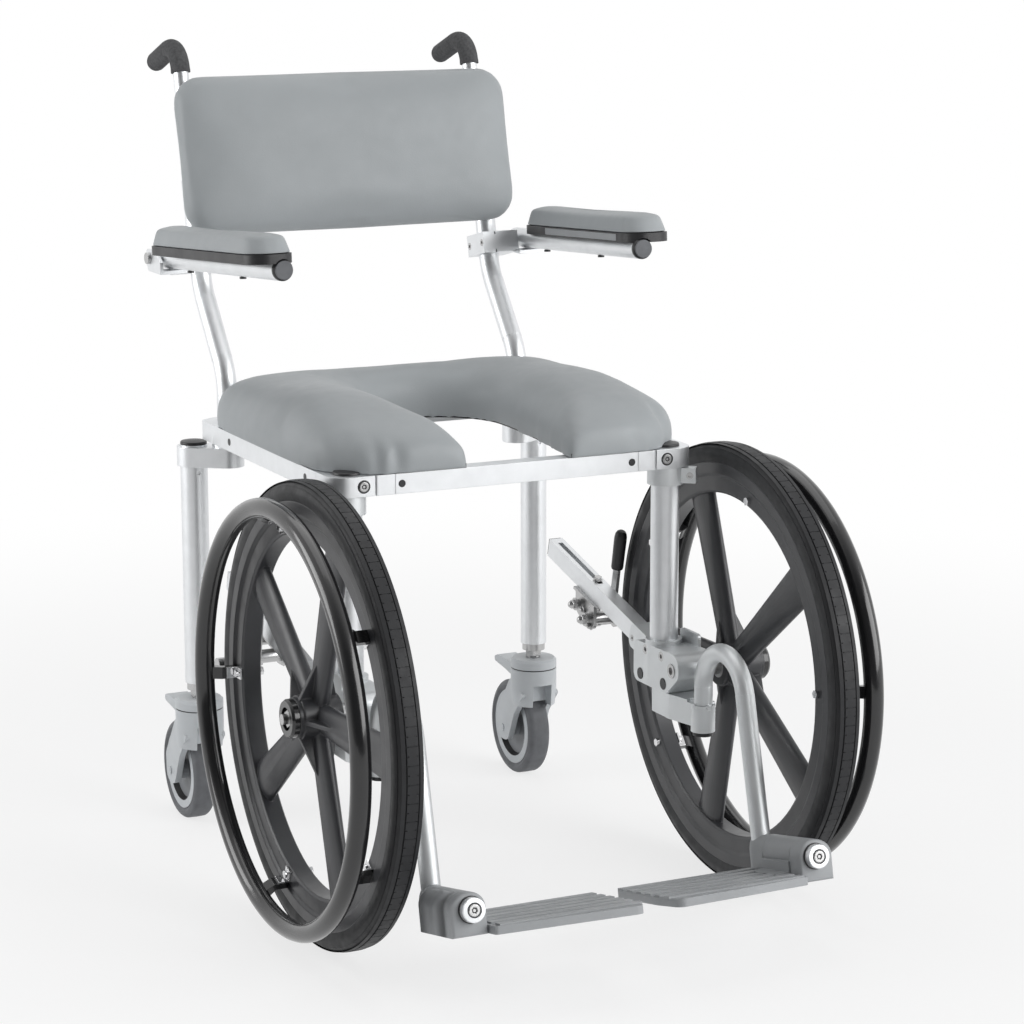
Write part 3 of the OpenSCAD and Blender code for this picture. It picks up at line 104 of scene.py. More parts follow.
def shades(tree, bsdf, co, base, spread, scale, detail=4.0):
    """Base colour that varies a little round a middle value."""
    n = add(tree, "TexNoise", {"Vector": co}, Scale=scale, Detail=detail, Roughness=0.6)
    ramp = add(tree, "ValToRGB", {"Fac": n.outputs["Fac"]})
    e = ramp.color_ramp.elements
    e[0].position, e[1].position = NOISE_LOW, NOISE_HIGH
    e[0].color = [c * (1 - spread) for c in base] + [1]
    e[1].color = [min(1, c * (1 + spread)) for c in base] + [1]
    tree.links.new(ramp.outputs["Color"], bsdf.inputs["Base Color"])
    return ramp.outputs["Color"]


def grain(tree, co, scale, detail=2.0):
    """Plain noise."""
    return add(tree, "TexNoise", {"Vector": co}, Scale=scale, Detail=detail).outputs["Fac"]


def gloss(tree, bsdf, co, low, high, scale):
    """Roughness that wanders between two values."""
    value = noise_range(tree, grain(tree, co, scale, 3.0), low, high)
    tree.links.new(value, bsdf.inputs["Roughness"])


def relief(tree, bsdf, height, strength, distance, edge=0.0):
    """Bump from a height, on normals rounded at sharp edges where edge is a radius."""
    links = {"Height": height}
    if edge:
        links["Normal"] = add(tree, "Bevel", samples=4, Radius=edge).outputs["Normal"]
    b = add(tree, "Bump", links, Strength=strength, Distance=distance)
    tree.links.new(b.outputs["Normal"], bsdf.inputs["Normal"])


def worn(tree, bsdf, colour, pale, edge, amount):
    """Colour that turns pale where rounded and true normals part, along sharp edges."""
    soft = add(tree, "Bevel", samples=4, Radius=edge).outputs["Normal"]
    true = add(tree, "NewGeometry").outputs["Normal"]
    dot = add(tree, "VectorMath", {0: soft, 1: true}, operation="DOT_PRODUCT").outputs["Value"]
    part = add(tree, "MapRange", {"Value": dot}, From_Min=0.97, From_Max=0.75, To_Min=0.0, To_Max=amount)
    mix = add(tree, "Mix", {"Factor": part.outputs["Result"], 6: colour}, data_type="RGBA")
    mix.inputs[7].default_value = list(pale) + [1]
    tree.links.new(mix.outputs[2], bsdf.inputs["Base Color"])


def moulded(name, base, low, high, spread=0.06, bump=0.12, scale=900.0, edge=0.0008, **values):
    """Moulded or painted surface: slight colour and gloss variation over a fine grain, pale at its edges."""
    m, t, b = shader(name, **values)
    co = place(t)
    colour = shades(t, b, co, base, spread, scale=14.0)
    gloss(t, b, co, low, high, scale=35.0)
    relief(t, b, grain(t, co, scale), bump, 0.0004, edge)
    worn(t, b, colour, [min(1, c * 1.35 + 0.015) for c in base], edge * 1.5, 0.5)
    return m


def metal(name, base, low, high, bump, **values):
    """Metal with a fine blasted finish."""
    m, t, b = shader(name, **values)
    co = place(t)
    shades(t, b, co, base, spread=0.035, scale=40.0)
    gloss(t, b, co, low, high, scale=120.0)
    relief(t, b, grain(t, co, 700.0, 3.0), bump, 0.0003, edge=0.0006)
    return m


def vinyl_skin():
    """Coated fabric: soft satin, a fine pebble grain and broad faint shading."""
    m, t, b = shader("vinyl", Sheen_Weight=0.08, Sheen_Roughness=0.5, Specular_IOR_Level=0.42)
    co = place(t)
    shades(t, b, co, (0.362, 0.385, 0.398), spread=0.045, scale=9.0, detail=5.0)
    gloss(t, b, co, 0.44, 0.56, scale=60.0)
    cells = add(t, "TexVoronoi", {"Vector": co}, Scale=1100.0, feature="SMOOTH_F1", Smoothness=0.6)
    fine = grain(t, co, 420.0, 4.0)
    both = add(t, "Math", {0: cells.outputs["Distance"], 1: fine}, operation="ADD")
    relief(t, b, both.outputs["Value"], 0.16, 0.0005)
    return m


def foam_skin():
    """Cellular foam: dull, with a coarse speckle."""
    m, t, b = shader("foam", Specular_IOR_Level=0.25)
    co = place(t)
    shades(t, b, co, (0.092, 0.093, 0.096), spread=0.25, scale=260.0)
    gloss(t, b, co, 0.78, 0.92, scale=90.0)
    relief(t, b, grain(t, co, 900.0, 5.0), 0.5, 0.0006)
    return m


def rubber(name, base, low, high):
    """Moulded rubber with uneven shades."""
    m, t, b = shader(name, Specular_IOR_Level=0.35)
    co = place(t)
    shades(t, b, co, base, spread=0.16, scale=45.0, detail=6.0)
    gloss(t, b, co, low, high, scale=70.0)
    relief(t, b, grain(t, co, 1300.0, 3.0), 0.18, 0.0004)
    return m


# Colours of a caster wheel from its hub outwards: share of the radius at which each begins, and the colour
CASTER_RINGS = ((0.0, (0.40, 0.42, 0.44)), (0.25, (0.25, 0.26, 0.275)),
                (0.735, (0.012, 0.012, 0.013)), (0.80, (0.56, 0.585, 0.605)))


def caster_disc(side):
    """Caster wheel: a pale outer ring round a darker web, told apart by distance from its axle."""
    m, t, b = shader("caster_disc_" + side, Specular_IOR_Level=0.4)
    co = place(t)
    lo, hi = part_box(side + "_caster_wheel")
    away = add(t, "VectorMath", {0: co}, operation="SUBTRACT")
    away.inputs[1].default_value = (lo + hi) / 2
    flat = add(t, "VectorMath", {0: away.outputs[0]}, operation="MULTIPLY")
    flat.inputs[1].default_value = (0, 1, 1)
    r = add(t, "VectorMath", {0: flat.outputs[0]}, operation="LENGTH").outputs["Value"]
    share = add(t, "MapRange", {"Value": r}, From_Min=0.0, From_Max=(hi.z - lo.z) / 2)
    ramp = add(t, "ValToRGB", {"Fac": share.outputs["Result"]})
    ramp.color_ramp.interpolation = "CONSTANT"
    e = ramp.color_ramp.elements
    for i, (start, colour) in enumerate(CASTER_RINGS):
        stop = e[i] if i < 2 else e.new(start)
        stop.position, stop.color = start, colour + (1,)
    tone = noise_range(t, grain(t, co, 20.0, 4.0), 0.93, 1.06)
    mix = add(t, "VectorMath", {0: ramp.outputs["Color"], 1: tone}, operation="MULTIPLY")
    t.links.new(mix.outputs[0], b.inputs["Base Color"])
    gloss(t, b, co, 0.36, 0.5, scale=40.0)
    relief(t, b, grain(t, co, 900.0), 0.1, 0.0004, edge=0.0006)
    return m


MATS = {
    "anodised": metal("anodised", (0.77, 0.785, 0.80), 0.36, 0.43, bump=0.012, Metallic=0.88),
    "cast_grey": moulded("cast_grey", (0.70, 0.72, 0.73), 0.42, 0.52, spread=0.04, scale=500.0, Metallic=0.75),
    "steel": metal("steel", (0.50, 0.50, 0.50), 0.26, 0.36, bump=0.01, Metallic=1.0),
    "chrome": metal("chrome", (0.74, 0.74, 0.75), 0.10, 0.18, bump=0.006, Metallic=1.0),
    "black_plastic": moulded("black_plastic", (0.020, 0.020, 0.022), 0.34, 0.48, spread=0.12),
    "foam": foam_skin(),
    "vinyl": vinyl_skin(),
    "charcoal_plastic": moulded("charcoal_plastic", (0.036, 0.037, 0.041), 0.31, 0.41, spread=0.1,
                                scale=600.0, edge=0.0025),
    "gloss_black": moulded("gloss_black", (0.012, 0.012, 0.013), 0.14, 0.24, spread=0.15, bump=0.02,
                           scale=300.0, edge=0.001, Coat_Weight=0.4, Coat_Roughness=0.06),
    "tyre": rubber("tyre", (0.018, 0.0185, 0.0205), 0.46, 0.60),
    "grey_plastic": moulded("grey_plastic", (0.55, 0.575, 0.595), 0.36, 0.5),
    "caster_rubber": rubber("caster_rubber", (0.145, 0.15, 0.16), 0.5, 0.66),
    "foot_grey": moulded("foot_grey", (0.34, 0.352, 0.364), 0.42, 0.56, spread=0.07, bump=0.25, scale=700.0),
}


# The solids' own looks

SHARP_DEGREES = 27
WELD = 2e-6


def smooth_group():
    """Modifier group that joins split points and smooths every edge that isn't sharp."""
    g = bpy.data.node_groups.new("smooth", "GeometryNodeTree")
    g.interface.new_socket("Geometry", in_out="INPUT", socket_type="NodeSocketGeometry")
    g.interface.new_socket("Geometry", in_out="OUTPUT", socket_type="NodeSocketGeometry")
    new, link = g.nodes.new, g.links.new
    start, end = new("NodeGroupInput"), new("NodeGroupOutput")
    bare = new("GeometryNodeRemoveAttribute")
    bare.inputs["Name"].default_value = "custom_normal"
    weld = new("GeometryNodeMergeByDistance")
    weld.inputs["Distance"].default_value = WELD
    faces = new("GeometryNodeSetShadeSmooth")
    edges = new("GeometryNodeSetShadeSmooth")
    edges.domain = "EDGE"
    edges.inputs["Shade Smooth"].default_value = False
    turn = new("GeometryNodeInputMeshEdgeAngle")
    sharp = new("FunctionNodeCompare")
    sharp.operation = "GREATER_THAN"
    sharp.inputs[1].default_value = math.radians(SHARP_DEGREES)
    link(turn.outputs["Unsigned Angle"], sharp.inputs[0])
    link(sharp.outputs["Result"], edges.inputs["Selection"])
    for a, b in ((start, bare), (bare, weld), (weld, faces), (faces, edges), (edges, end)):
        link(a.outputs[0], b.inputs[0])
    return g


SMOOTH = smooth_group()


def smoothed(ob):
    """The object, with smooth shading up to its sharp edges."""
    ob.modifiers.new("smooth", "NODES").node_group = SMOOTH
    return ob


def dress(ob, material):
    """Gives the object one material."""
    ob.data.materials.clear()
    ob.data.materials.append(material)


for name, ob in NODES.items():
    dress(smoothed(ob), MATS[SLOT[name]])
for side, _ in SIDES:
    dress(NODES[side + "_caster_wheel"], caster_disc(side))


# Meshes

def piece(name, verts, faces, slot, body, stands_for=(), smooth=True):
    """A new mesh on a body, finished with the record's slot."""
    me = bpy.data.meshes.new(name)
    me.from_pydata([tuple(v) for v in verts], [], [tuple(f) for f in faces])
    me.validate()
    bm = bmesh.new()
    bm.from_mesh(me)
    bmesh.ops.recalc_face_normals(bm, faces=bm.faces)
    bm.to_mesh(me)
    bm.free()
    for p in me.polygons:
        p.use_smooth = smooth
    me.materials.append(MATS[slot])
    ob = bpy.data.objects.new(name, me)
    bpy.context.scene.collection.objects.link(ob)
    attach(ob, body)
    if stands_for:
        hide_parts(*stands_for)
    return ob


def ring_faces(rows, cols, closed_rows=False):
    """Quads between rings of cols points each."""
    faces = []
    for j in range(rows if closed_rows else rows - 1):
        this, after = j * cols, (j + 1) % rows * cols
        for i in range(cols):
            k = (i + 1) % cols
            faces.append((this + i, this + k, after + k, after + i))
    return faces


def capped(rows, cols, base=0):
    """Quads between rings, with the first and the last ring closed by a face each."""
    rings = [range(base + j * cols, base + (j + 1) * cols) for j in (0, rows - 1)]
    return [tuple(base + i for i in f) for f in ring_faces(rows, cols)] + rings


def around(steps):
    """Angles of a full turn."""
    return np.linspace(0, 2 * math.pi, steps, endpoint=False)


def turned(name, at, axis, rows, slot, body, sides=36):
    """A piece turned round an axis. A row is a radius and a height along the axis in millimetres,
    with True added where the section is a hexagon of that size to its corners."""
    a = Vector(axis).normalized()
    u = a.orthogonal().normalized()
    v = a.cross(u)
    verts = []
    for r, h, *hexagon in rows:
        for i in range(sides):
            t = 2 * math.pi * i / sides
            flat = math.cos(math.pi / 6) / math.cos(t % (math.pi / 3) - math.pi / 6) if hexagon else 1
            verts.append(Vector(at) + (a * h + (u * math.cos(t) + v * math.sin(t)) * r * flat) * MM)
    return smoothed(piece(name, verts, capped(len(rows), sides), slot, body))


def socket_head(name, at, axis, r, top, body):
    """Steel screw head whose hexagon socket holds a black insert, a painted shade for the recess."""
    turned(name, at, axis, [(r, top - 1.6), (r, top - 0.6), (r - 0.7, top), (r * 0.55, top, True),
                            (r * 0.53, top - 0.7, True)], "steel", body)
    # black insert in the socket: painted shade in the recess
    turned(name + "_socket", at, axis, [(r * 0.56, top - 1.2, True), (r * 0.54, top - 0.55, True),
                                        (r * 0.25, top - 0.7), (0.2, top - 0.75)], "black_plastic", body)


def hinge(name):
    """Place and direction of a joint."""
    return np.array(JOINT[name]["pos_m"]), np.array(JOINT[name]["axis"])


def coords(ob):
    """The mesh's points."""
    co = np.zeros(len(ob.data.vertices) * 3)
    ob.data.vertices.foreach_get("co", co)
    return co.reshape(-1, 3)


def settle(ob):
    """Applies the object's modifiers to its mesh."""
    dg = bpy.context.evaluated_depsgraph_get()
    me = bpy.data.meshes.new_from_object(ob.evaluated_get(dg))
    ob.modifiers.clear()
    old, ob.data = ob.data, me
    bpy.data.meshes.remove(old)


def subdivide(ob, levels):
    """Rounds the object's mesh by subdivision."""
    sub = ob.modifiers.new("subdivide", "SUBSURF")
    sub.levels = sub.render_levels = levels
    settle(ob)


def blend(t):
    """Smooth step from 0 to 1."""
    t = np.clip(t, 0, 1)
    return t * t * (3 - 2 * t)


CORNERS = ((1, 1), (-1, 1), (-1, -1), (1, -1))
LONG_STEPS = 14


def outline(hw, hl, r, n):
    """Round rectangle in x and y, n steps to a corner and more along the two sides that run in y."""
    pts = []
    for q, (sx, sy) in enumerate(CORNERS):
        for i in range(n + 1):
            a = math.pi / 2 * (q + i / n)
            pts.append((sx * (hw - r) + r * math.cos(a), sy * (hl - r) + r * math.sin(a)))
        if q in (1, 3):
            x0, y0 = pts[-1]
            nx, ny = CORNERS[(q + 1) % 4]
            x1, y1 = nx * (hw - r) + r * math.cos(a), ny * (hl - r) + r * math.sin(a)
            for k in range(1, LONG_STEPS):
                pts.append((x0 + (x1 - x0) * k / LONG_STEPS, y0 + (y1 - y0) * k / LONG_STEPS))
    return pts


# Upholstery

VOXEL = 0.0055
CLOTH_FRAMES = 20
SEAT_LIP, LIP_BAND = 0.010, 0.0085              # drop of the lower rim, and the height of the rim that drops
FRONT_SHIFT, FRONT_REACH = 0.0035, 0.02         # the seat's front edge moves forward, less further back
BOARD_REACH, ON_BOARD = 0.0015, 0.0001          # points this near over a board lie on it, this far from it
RIM_BAND, RIM_DROP = 0.0005, 0.0048             # loose points of the seat's rim are set to one level

# Folds at the seat's front corners: x, way behind the front edge, height over the underside, reach along
# each axis, depth and direction
SEAT_FOLDS = (
    (-0.150, 0.010, 0.010, (0.008, 0.020, 0.016), 0.006, (0, 1, 0)),
    (-0.172, 0.016, 0.012, (0.007, 0.018, 0.020), 0.005, (0.4, 0.9, 0)),
    (0.196, 0.036, 0.018, (0.008, 0.016, 0.026), 0.008, (-0.7, 0.7, 0)),
    (0.150, 0.008, 0.010, (0.012, 0.020, 0.014), 0.003, (0, 1, 0)),
    (-0.200, 0.040, 0.014, (0.009, 0.016, 0.022), 0.004, (0.7, 0.7, 0)))

# Section of an arm pad from its base up: inset in millimetres, share of the height
ARM_RINGS = ((0.4, 0.0), (0.0, 0.05), (1.2, 0.22), (2.5, 0.42), (3.9, 0.60), (4.9, 0.69), (6.5, 0.765),
             (9.2, 0.815), (13.0, 0.855), (18.4, 0.905), (24.0, 0.94))


def neighbours_mean(me, co, free, rounds, share=0.5):
    """Evens out the points that are free to move."""
    e = np.zeros(len(me.edges) * 2, int)
    me.edges.foreach_get("vertices", e)
    a, b = e.reshape(-1, 2).T
    count = np.bincount(np.concatenate([a, b]), minlength=len(co)).clip(1)[:, None]
    for _ in range(rounds):
        total = np.zeros_like(co)
        np.add.at(total, a, co[b])
        np.add.at(total, b, co[a])
        co = co + (total / count - co) * share * free[:, None]
    return co


def blown_up(ob, start, held, cap, pressure):
    """Points of the object blown up as cloth from its held points, none moved further than cap."""
    pin = ob.vertex_groups.new(name="base")
    for i in np.nonzero(held > 0)[0]:
        pin.add([int(i)], float(held[i]), "REPLACE")
    cloth = ob.modifiers.new("fill", "CLOTH")
    s = cloth.settings
    s.quality, s.mass, s.air_damping = 6, 0.25, 2.0
    s.tension_stiffness = s.compression_stiffness = 18
    s.shear_stiffness, s.bending_stiffness = 8, 2.0
    s.use_pressure, s.uniform_pressure_force = True, pressure
    s.vertex_group_mass = "base"
    s.effector_weights.gravity = 0
    cloth.point_cache.frame_start, cloth.point_cache.frame_end = 1, CLOTH_FRAMES
    scene = bpy.context.scene
    for f in range(1, CLOTH_FRAMES + 1):
        scene.frame_set(f)
    dg = bpy.context.evaluated_depsgraph_get()
    blown = np.zeros(start.size)
    ob.evaluated_get(dg).data.vertices.foreach_get("co", blown)
    ob.modifiers.clear()
    scene.frame_set(1)
    move = blown.reshape(-1, 3) - start
    size = np.linalg.norm(move, axis=1, keepdims=True)
    return start + move * np.minimum(1, cap / np.maximum(size, 1e-9))


def stuffed(name, node, rest, ease, cap, pressure, even, lip=0.0):
    """A cushion: the CAD solid evened out, blown up as cloth over its held base, and capped. Its lower rim hangs
    by lip over the board that carries it. rest(co) sets the base's points in place and gives 1 for each, else 0;
    ease(co) is how freely each point evens out with its neighbours, from 0 to 1."""
    me = NODES[node].data.copy()
    ob = bpy.data.objects.new(name, me)
    bpy.context.scene.collection.objects.link(ob)
    if lip:
        co = coords(ob)
        co[co[:, 2] < co[:, 2].min() + LIP_BAND, 2] -= lip
        co[:, 1] -= FRONT_SHIFT * np.clip((co[:, 1].min() + FRONT_REACH - co[:, 1]) / FRONT_REACH, 0, 1)
        me.vertices.foreach_set("co", co.ravel())
    mod = ob.modifiers.new("even", "REMESH")
    mod.mode, mod.voxel_size = "VOXEL", VOXEL
    settle(ob)
    me = ob.data
    co = coords(ob)
    held = rest(co)
    free = (1 - held) * ease(co)
    co = neighbours_mean(me, co, free, even)
    me.vertices.foreach_set("co", co.ravel())
    me.update()
    co = blown_up(ob, co, held, cap, pressure)
    return ob, neighbours_mean(me, co, free, even), held


def surface(node):
    """Search tree over a node's faces."""
    faces = [tuple(p.vertices) for p in NODES[node].data.polygons]
    return BVHTree.FromPolygons(coords(NODES[node]).tolist(), faces)


def against(node, reach):
    """Holds the points within reach of a node."""
    tree = surface(node)
    return lambda co: np.array([1.0 if tree.find_nearest(p)[3] < reach else 0.0 for p in co.tolist()])


def upon(node):
    """Holds the points over a flat board, at its top."""
    tree = surface(node)
    lo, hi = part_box(node)

    def rest(co):
        held = np.zeros(len(co))
        for i in np.nonzero(co[:, 2] < hi.z + BOARD_REACH)[0]:
            at = Vector((co[i, 0], co[i, 1], (lo.z + hi.z) / 2))
            near, out, _, far = tree.find_nearest(at)
            if far < 0.001 or (at - near).dot(out) < 0:
                held[i], co[i, 2] = 1, hi.z + ON_BOARD
        return held
    return rest


def dent(co, at, radius, depth, along):
    """Pulls points near a place along a direction, most at its middle."""
    off = co - np.array(at)
    w = np.exp(-((off / np.array(radius)) ** 2).sum(1))
    return co + w[:, None] * np.array(along) * depth


def finish_soft(ob, co, node):
    """The cushion's last shape and looks. It stands for the node."""
    ob.data.vertices.foreach_set("co", co.ravel())
    ob.data.update()
    subdivide(ob, 1)
    dress(ob, MATS["vinyl"])
    for p in ob.data.polygons:
        p.use_smooth = True
    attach(ob, "frame")
    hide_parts(node)


def seat_cushion():
    """Open-front seat cushion with folds at its corners and full front lobes."""
    lo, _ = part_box("seat_pad")

    def ease(c):
        return np.clip((c[:, 2] - c[:, 2].min()) / 0.03, 0.1, 1)
    ob, co, held = stuffed("seat_cushion", "seat_pad", upon("seat_board"), ease,
                           cap=0.012, pressure=4.0, even=8, lip=SEAT_LIP)
    for x, behind, z, reach, depth, way in SEAT_FOLDS:
        co = dent(co, (x, lo.y + behind, lo.z + z), reach, depth, way)
    behind = co[:, 1] - lo.y
    full = (0.4 + 0.6 * blend(behind / 0.06)) * (1 - blend((behind - 0.10) / 0.20))
    across = np.clip((np.abs(co[:, 0]) - 0.06) / 0.15, 0, 1)
    co[:, 2] += np.maximum(co[:, 2] - lo.z, 0) * full * (0.40 - 0.14 * across)
    co[(held == 0) & (co[:, 2] < lo.z + RIM_BAND), 2] = lo.z - RIM_DROP
    finish_soft(ob, co, "seat_pad")


def back_cushion():
    """Back cushion, a little larger than its solid and drawn in at the middle of its sides."""
    turn = np.array(Matrix.Rotation(-BACK_LEAN, 3, "X"))
    cad = coords(NODES["back_pad"])
    mid = (cad.max(0) + cad.min(0)) / 2
    local = (cad - mid) @ turn
    mid = mid + turn @ ((local.max(0) + local.min(0)) / 2)
    half = (local.max(0) - local.min(0)) / 2
    grow, draw = 0.003, 0.002

    def ease(c):
        q = np.abs((c - mid) @ turn)
        return np.clip((np.minimum(half[0] - q[:, 0], half[2] - q[:, 2]) - 0.004) / 0.05, 0.10, 1)
    ob, co, held = stuffed("back_cushion", "back_pad", against("back_board", 0.002), ease,
                           cap=0.004, pressure=1.2, even=22)
    q = (co - mid) @ turn
    for axis in (0, 2):
        q[:, axis] *= (half[axis] + grow) / np.abs(q[:, axis]).max()
    side = np.exp(-((np.abs(q[:, 0]) - half[0]) / 0.03) ** 2)
    q[:, 0] -= np.sign(q[:, 0]) * side * (1 - held) * draw * np.cos(q[:, 2] / half[2] * 1.5) ** 2
    finish_soft(ob, q @ turn.T + mid, "back_pad")


def arm_turn(s):
    """Turn from an arm's own axes, its length along y, to the chair's."""
    return Matrix.Rotation(-ARM_TOE * s, 3, "Z") @ Matrix.Rotation(-ARM_RISE, 3, "X")


def arm_cushion(side, s):
    """Arm pad of moulded foam with a soft edge, a waist and a sloped front."""
    node = side + "_arm_pad"
    m = np.array(arm_turn(s))
    local = coords(NODES[node]) @ m
    lo, hi = local.min(0), local.max(0)
    mid, half = (lo + hi) / 2, (hi - lo) / 2
    h = hi[2] - lo[2]
    corner, waist, sag, slope = 0.025, 0.0032, 0.0022, 0.006
    verts = []
    for inset, up in ARM_RINGS:
        d = inset / 1000
        for x, y in outline(half[0] - d, half[1] - d, max(corner - d * 0.75, 0.003), 8):
            pull = waist * math.exp(-(y / 0.07) ** 2) * min(1, inset / 6)
            x -= math.copysign(min(pull, abs(x)), x)
            drop = sag * math.exp(-(y / 0.075) ** 2) * up ** 3
            y += slope * up * min(1, max(0, 1 - (y + half[1]) / 0.06))
            verts.append(m @ np.array((mid[0] + x, mid[1] + y, lo[2] + h * up - drop)))
    rows, k = len(ARM_RINGS), len(verts)
    cols = k // rows
    top = k - cols
    verts.append(m @ np.array((mid[0], mid[1], lo[2] + h * 0.95 - 0.0012)))
    verts.append(m @ np.array((mid[0], mid[1], lo[2])))
    faces = ring_faces(rows, cols)
    faces += [(top + i, top + (i + 1) % cols, k) for i in range(cols)]
    faces += [((i + 1) % cols, i, k + 1) for i in range(cols)]
    ob = piece(side + "_arm_cushion", verts, faces, "vinyl", side + "_arm", [node])
    subdivide(ob, 2)


# Arms

def tray_panel_painted_reflection(side, s):
    """Set-in panel along the inner side of the tray under an arm pad. Its pale grey is a painted reflection of the
    light on the set-in face.
    """
    m = np.array(arm_turn(s))
    local = coords(NODES[side + "_arm_pad"]) @ m
    lo, hi = local.min(0), local.max(0)
    length = hi[1] - lo[1]
    mid, half = hi[1] - 0.565 * length, 0.325 * length
    half_height, corner, below = 4.0 * MM, 1.5 * MM, 5.6 * MM
    x = lo[0] if s > 0 else hi[0]
    verts = []
    for out, inset in ((0.9, 0), (1.45, 0), (1.6, 0.3)):
        for y, z in outline(half - inset * MM, half_height - inset * MM, corner, 4):
            verts.append(m @ np.array((x - s * out * MM, mid + y, lo[2] - below + z)))
    # the pale grey slot paints the reflection that the set-in face catches
    piece(side + "_tray_panel_painted_reflection", verts, capped(3, len(verts) // 3), "foot_grey", side + "_arm", smooth=False)


def arm_end_disc(side, s):
    """Grained disc in the cap on the front end of the arm tube."""
    at, _ = hinge(side + "_arm_flip")
    along = arm_turn(s) @ Vector((0, -1, 0))
    end = ((coords(NODES[side + "_arm_tube"]) - at) @ np.array(along)).max() / MM
    rows = [(10.8, 5.0), (10.8, 7.3), (10.4, 7.8), (6.0, 8.0), (0.2, 8.1)]
    turned(side + "_arm_disc", at, along, [(r, end + h) for r, h in rows], "caster_rubber", side + "_arm")


# Wheels, casters and locks

TICKS = 160
PLAIN, RIB_EDGE, RIB_MIDDLE = 0, 1, 2                    # parts of the tyre's section, by how ticks cut them
WALL_DEGREES = (-82, -74, -66, -60, -57, -55, -52, -46, -40, -34, -29)
WALL_LINE = {-60: 0.0005, -57: -0.0006, -55: 0.0005}     # a fine line between two raised edges
COAT = 0.0016

# Grip of the lock lever: height from the lever's end, radius
GRIP_ROWS = ((-0.052, 0.0052), (-0.0515, 0.0070), (-0.049, 0.0076), (-0.044, 0.0076), (-0.030, 0.0077),
             (-0.016, 0.0079), (-0.009, 0.0078), (-0.0045, 0.0070), (-0.0015, 0.0052), (0.0000, 0.0028),
             (0.0004, 0.0005))


def tyre(side, s):
    """Solid tyre with a ticked middle rib between two grooves and fine lines on its walls."""
    node = side + "_tyre"
    lo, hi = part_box(node)
    mid, big, half = (lo + hi) / 2, (hi.z - lo.z) / 2, (hi.x - lo.x) / 2
    inner = np.linalg.norm(coords(NODES[node])[:, 1:] - np.array(mid)[1:], axis=1).min()
    bead, h = half - 0.0046, big - inner - 0.0078
    rib, groove, top = 0.0068, 0.0009, big - 0.0002
    floor = top - 0.0016

    def wall(degrees):
        a = math.radians(degrees)
        r = big - h + h * abs(math.cos(a)) ** 0.7
        return r + WALL_LINE.get(degrees, 0), half * math.copysign(abs(math.sin(a)) ** 0.75, a), PLAIN

    section = [(inner, -bead, PLAIN), (inner + 0.0048, -bead, PLAIN), (inner + 0.0050, -half + 0.0016, PLAIN)]
    section += [wall(degrees) for degrees in WALL_DEGREES]
    section += [(top - 0.0012, -0.0125, PLAIN), (top - 0.0005, -rib - groove - 0.0004, PLAIN),
                (floor, -rib - groove, PLAIN), (floor, -rib, PLAIN), (top - 0.0001, -rib + 0.0003, RIB_EDGE),
                (top, -0.0046, RIB_EDGE), (top, -0.0040, RIB_MIDDLE), (top, -0.0012, RIB_MIDDLE)]
    section += [(r, -x, part) for r, x, part in reversed(section)]
    pitch, wide, slope = 2 * math.pi / TICKS, 0.0004 / big, 0.0002 / big
    steps = ((-wide - slope, 0), (-wide, 1), (wide, 1), (wide + slope, 0), (pitch / 2, 0))
    verts = []
    for t in range(TICKS):
        for off, deep in steps:
            a = t * pitch + off
            cut = {PLAIN: 0, RIB_EDGE: 0.0010 * deep, RIB_MIDDLE: 0.0004 * deep * (t % 2)}
            for r, x, part in section:
                q = r - cut[part]
                verts.append((mid.x + x * s, mid.y + q * math.sin(a), mid.z + q * math.cos(a)))
    faces = ring_faces(TICKS * len(steps), len(section), True)
    smoothed(piece(side + "_tread", verts, faces, "tyre", side + "_wheel", [node]))


def handrim_coat(side, s):
    """Thick dipped coat round the handrim's tube."""
    node = side + "_handrim"
    co = coords(NODES[node])
    mid, _ = hinge(side + "_wheel_spin")
    far = np.linalg.norm(co[:, 1:] - mid[1:], axis=1)
    outermost = np.abs(co[far > far.max() - 0.0004, 0])
    cx = (outermost.max() + outermost.min()) / 2
    r = np.abs(co[:, 0]).max() - cx
    ring, thick = far.max() - r, r + COAT
    turns, sides = 220, 22
    verts = []
    for a in around(turns):
        for b in around(sides):
            q = ring + thick * math.cos(b)
            verts.append((s * (cx + thick * math.sin(b)), mid[1] + q * math.sin(a), mid[2] + q * math.cos(a)))
    piece(side + "_rim_coat", verts, ring_faces(turns, sides, True), SLOT[node], side + "_wheel")


def lever_grip(side):
    """Dipped grip over the end of the lock lever."""
    m = np.array(Matrix.Rotation(LEVER_LEAN, 3, "X"))
    q = coords(NODES[side + "_brake_lever"]) @ m
    top = q[:, 2].max()
    near = q[q[:, 2] > top - 0.012]
    cx, cy = (near[:, :2].max(0) + near[:, :2].min(0)) / 2
    sides = 28
    verts = [m @ np.array((cx + r * math.cos(a), cy + r * math.sin(a), top + z))
             for z, r in GRIP_ROWS for a in around(sides)]
    smoothed(piece(side + "_lever_grip", verts, capped(len(GRIP_ROWS), sides), "black_plastic",
                   side + "_lock_lever"))


def lock_nuts(side, s):
    """Cap nuts on the inner side of the wheel lock."""
    inner = np.abs(coords(NODES["brake_mounts"])[:, 0]).min()
    lever, _ = hinge(side + "_lock_lever_turn")
    link, _ = hinge(side + "_lock_shoe_turn")
    nuts = ((link, 0, 0, 0, 6.2), (lever, 0, 0, 0, 6.6), (lever, 7, 13, 9, 5.0), (lever, 7, -4, -9, 3.6))
    for k, (base, depth, dy, dz, r) in enumerate(nuts):
        at = (s * (inner + depth * MM), base[1] + dy * MM, base[2] + dz * MM)
        turned(f"{side}_lock_nut_{k + 1}", at, (-s, 0, 0),
               [(r * 1.3, -0.6), (r * 1.3, 0.4), (r, 0.5, True), (r, r * 0.7, True), (r * 0.78, r * 0.78),
                (r * 0.7, r * 1.05), (r * 0.5, r * 1.35), (r * 0.2, r * 1.5)], "steel", "frame", 24)


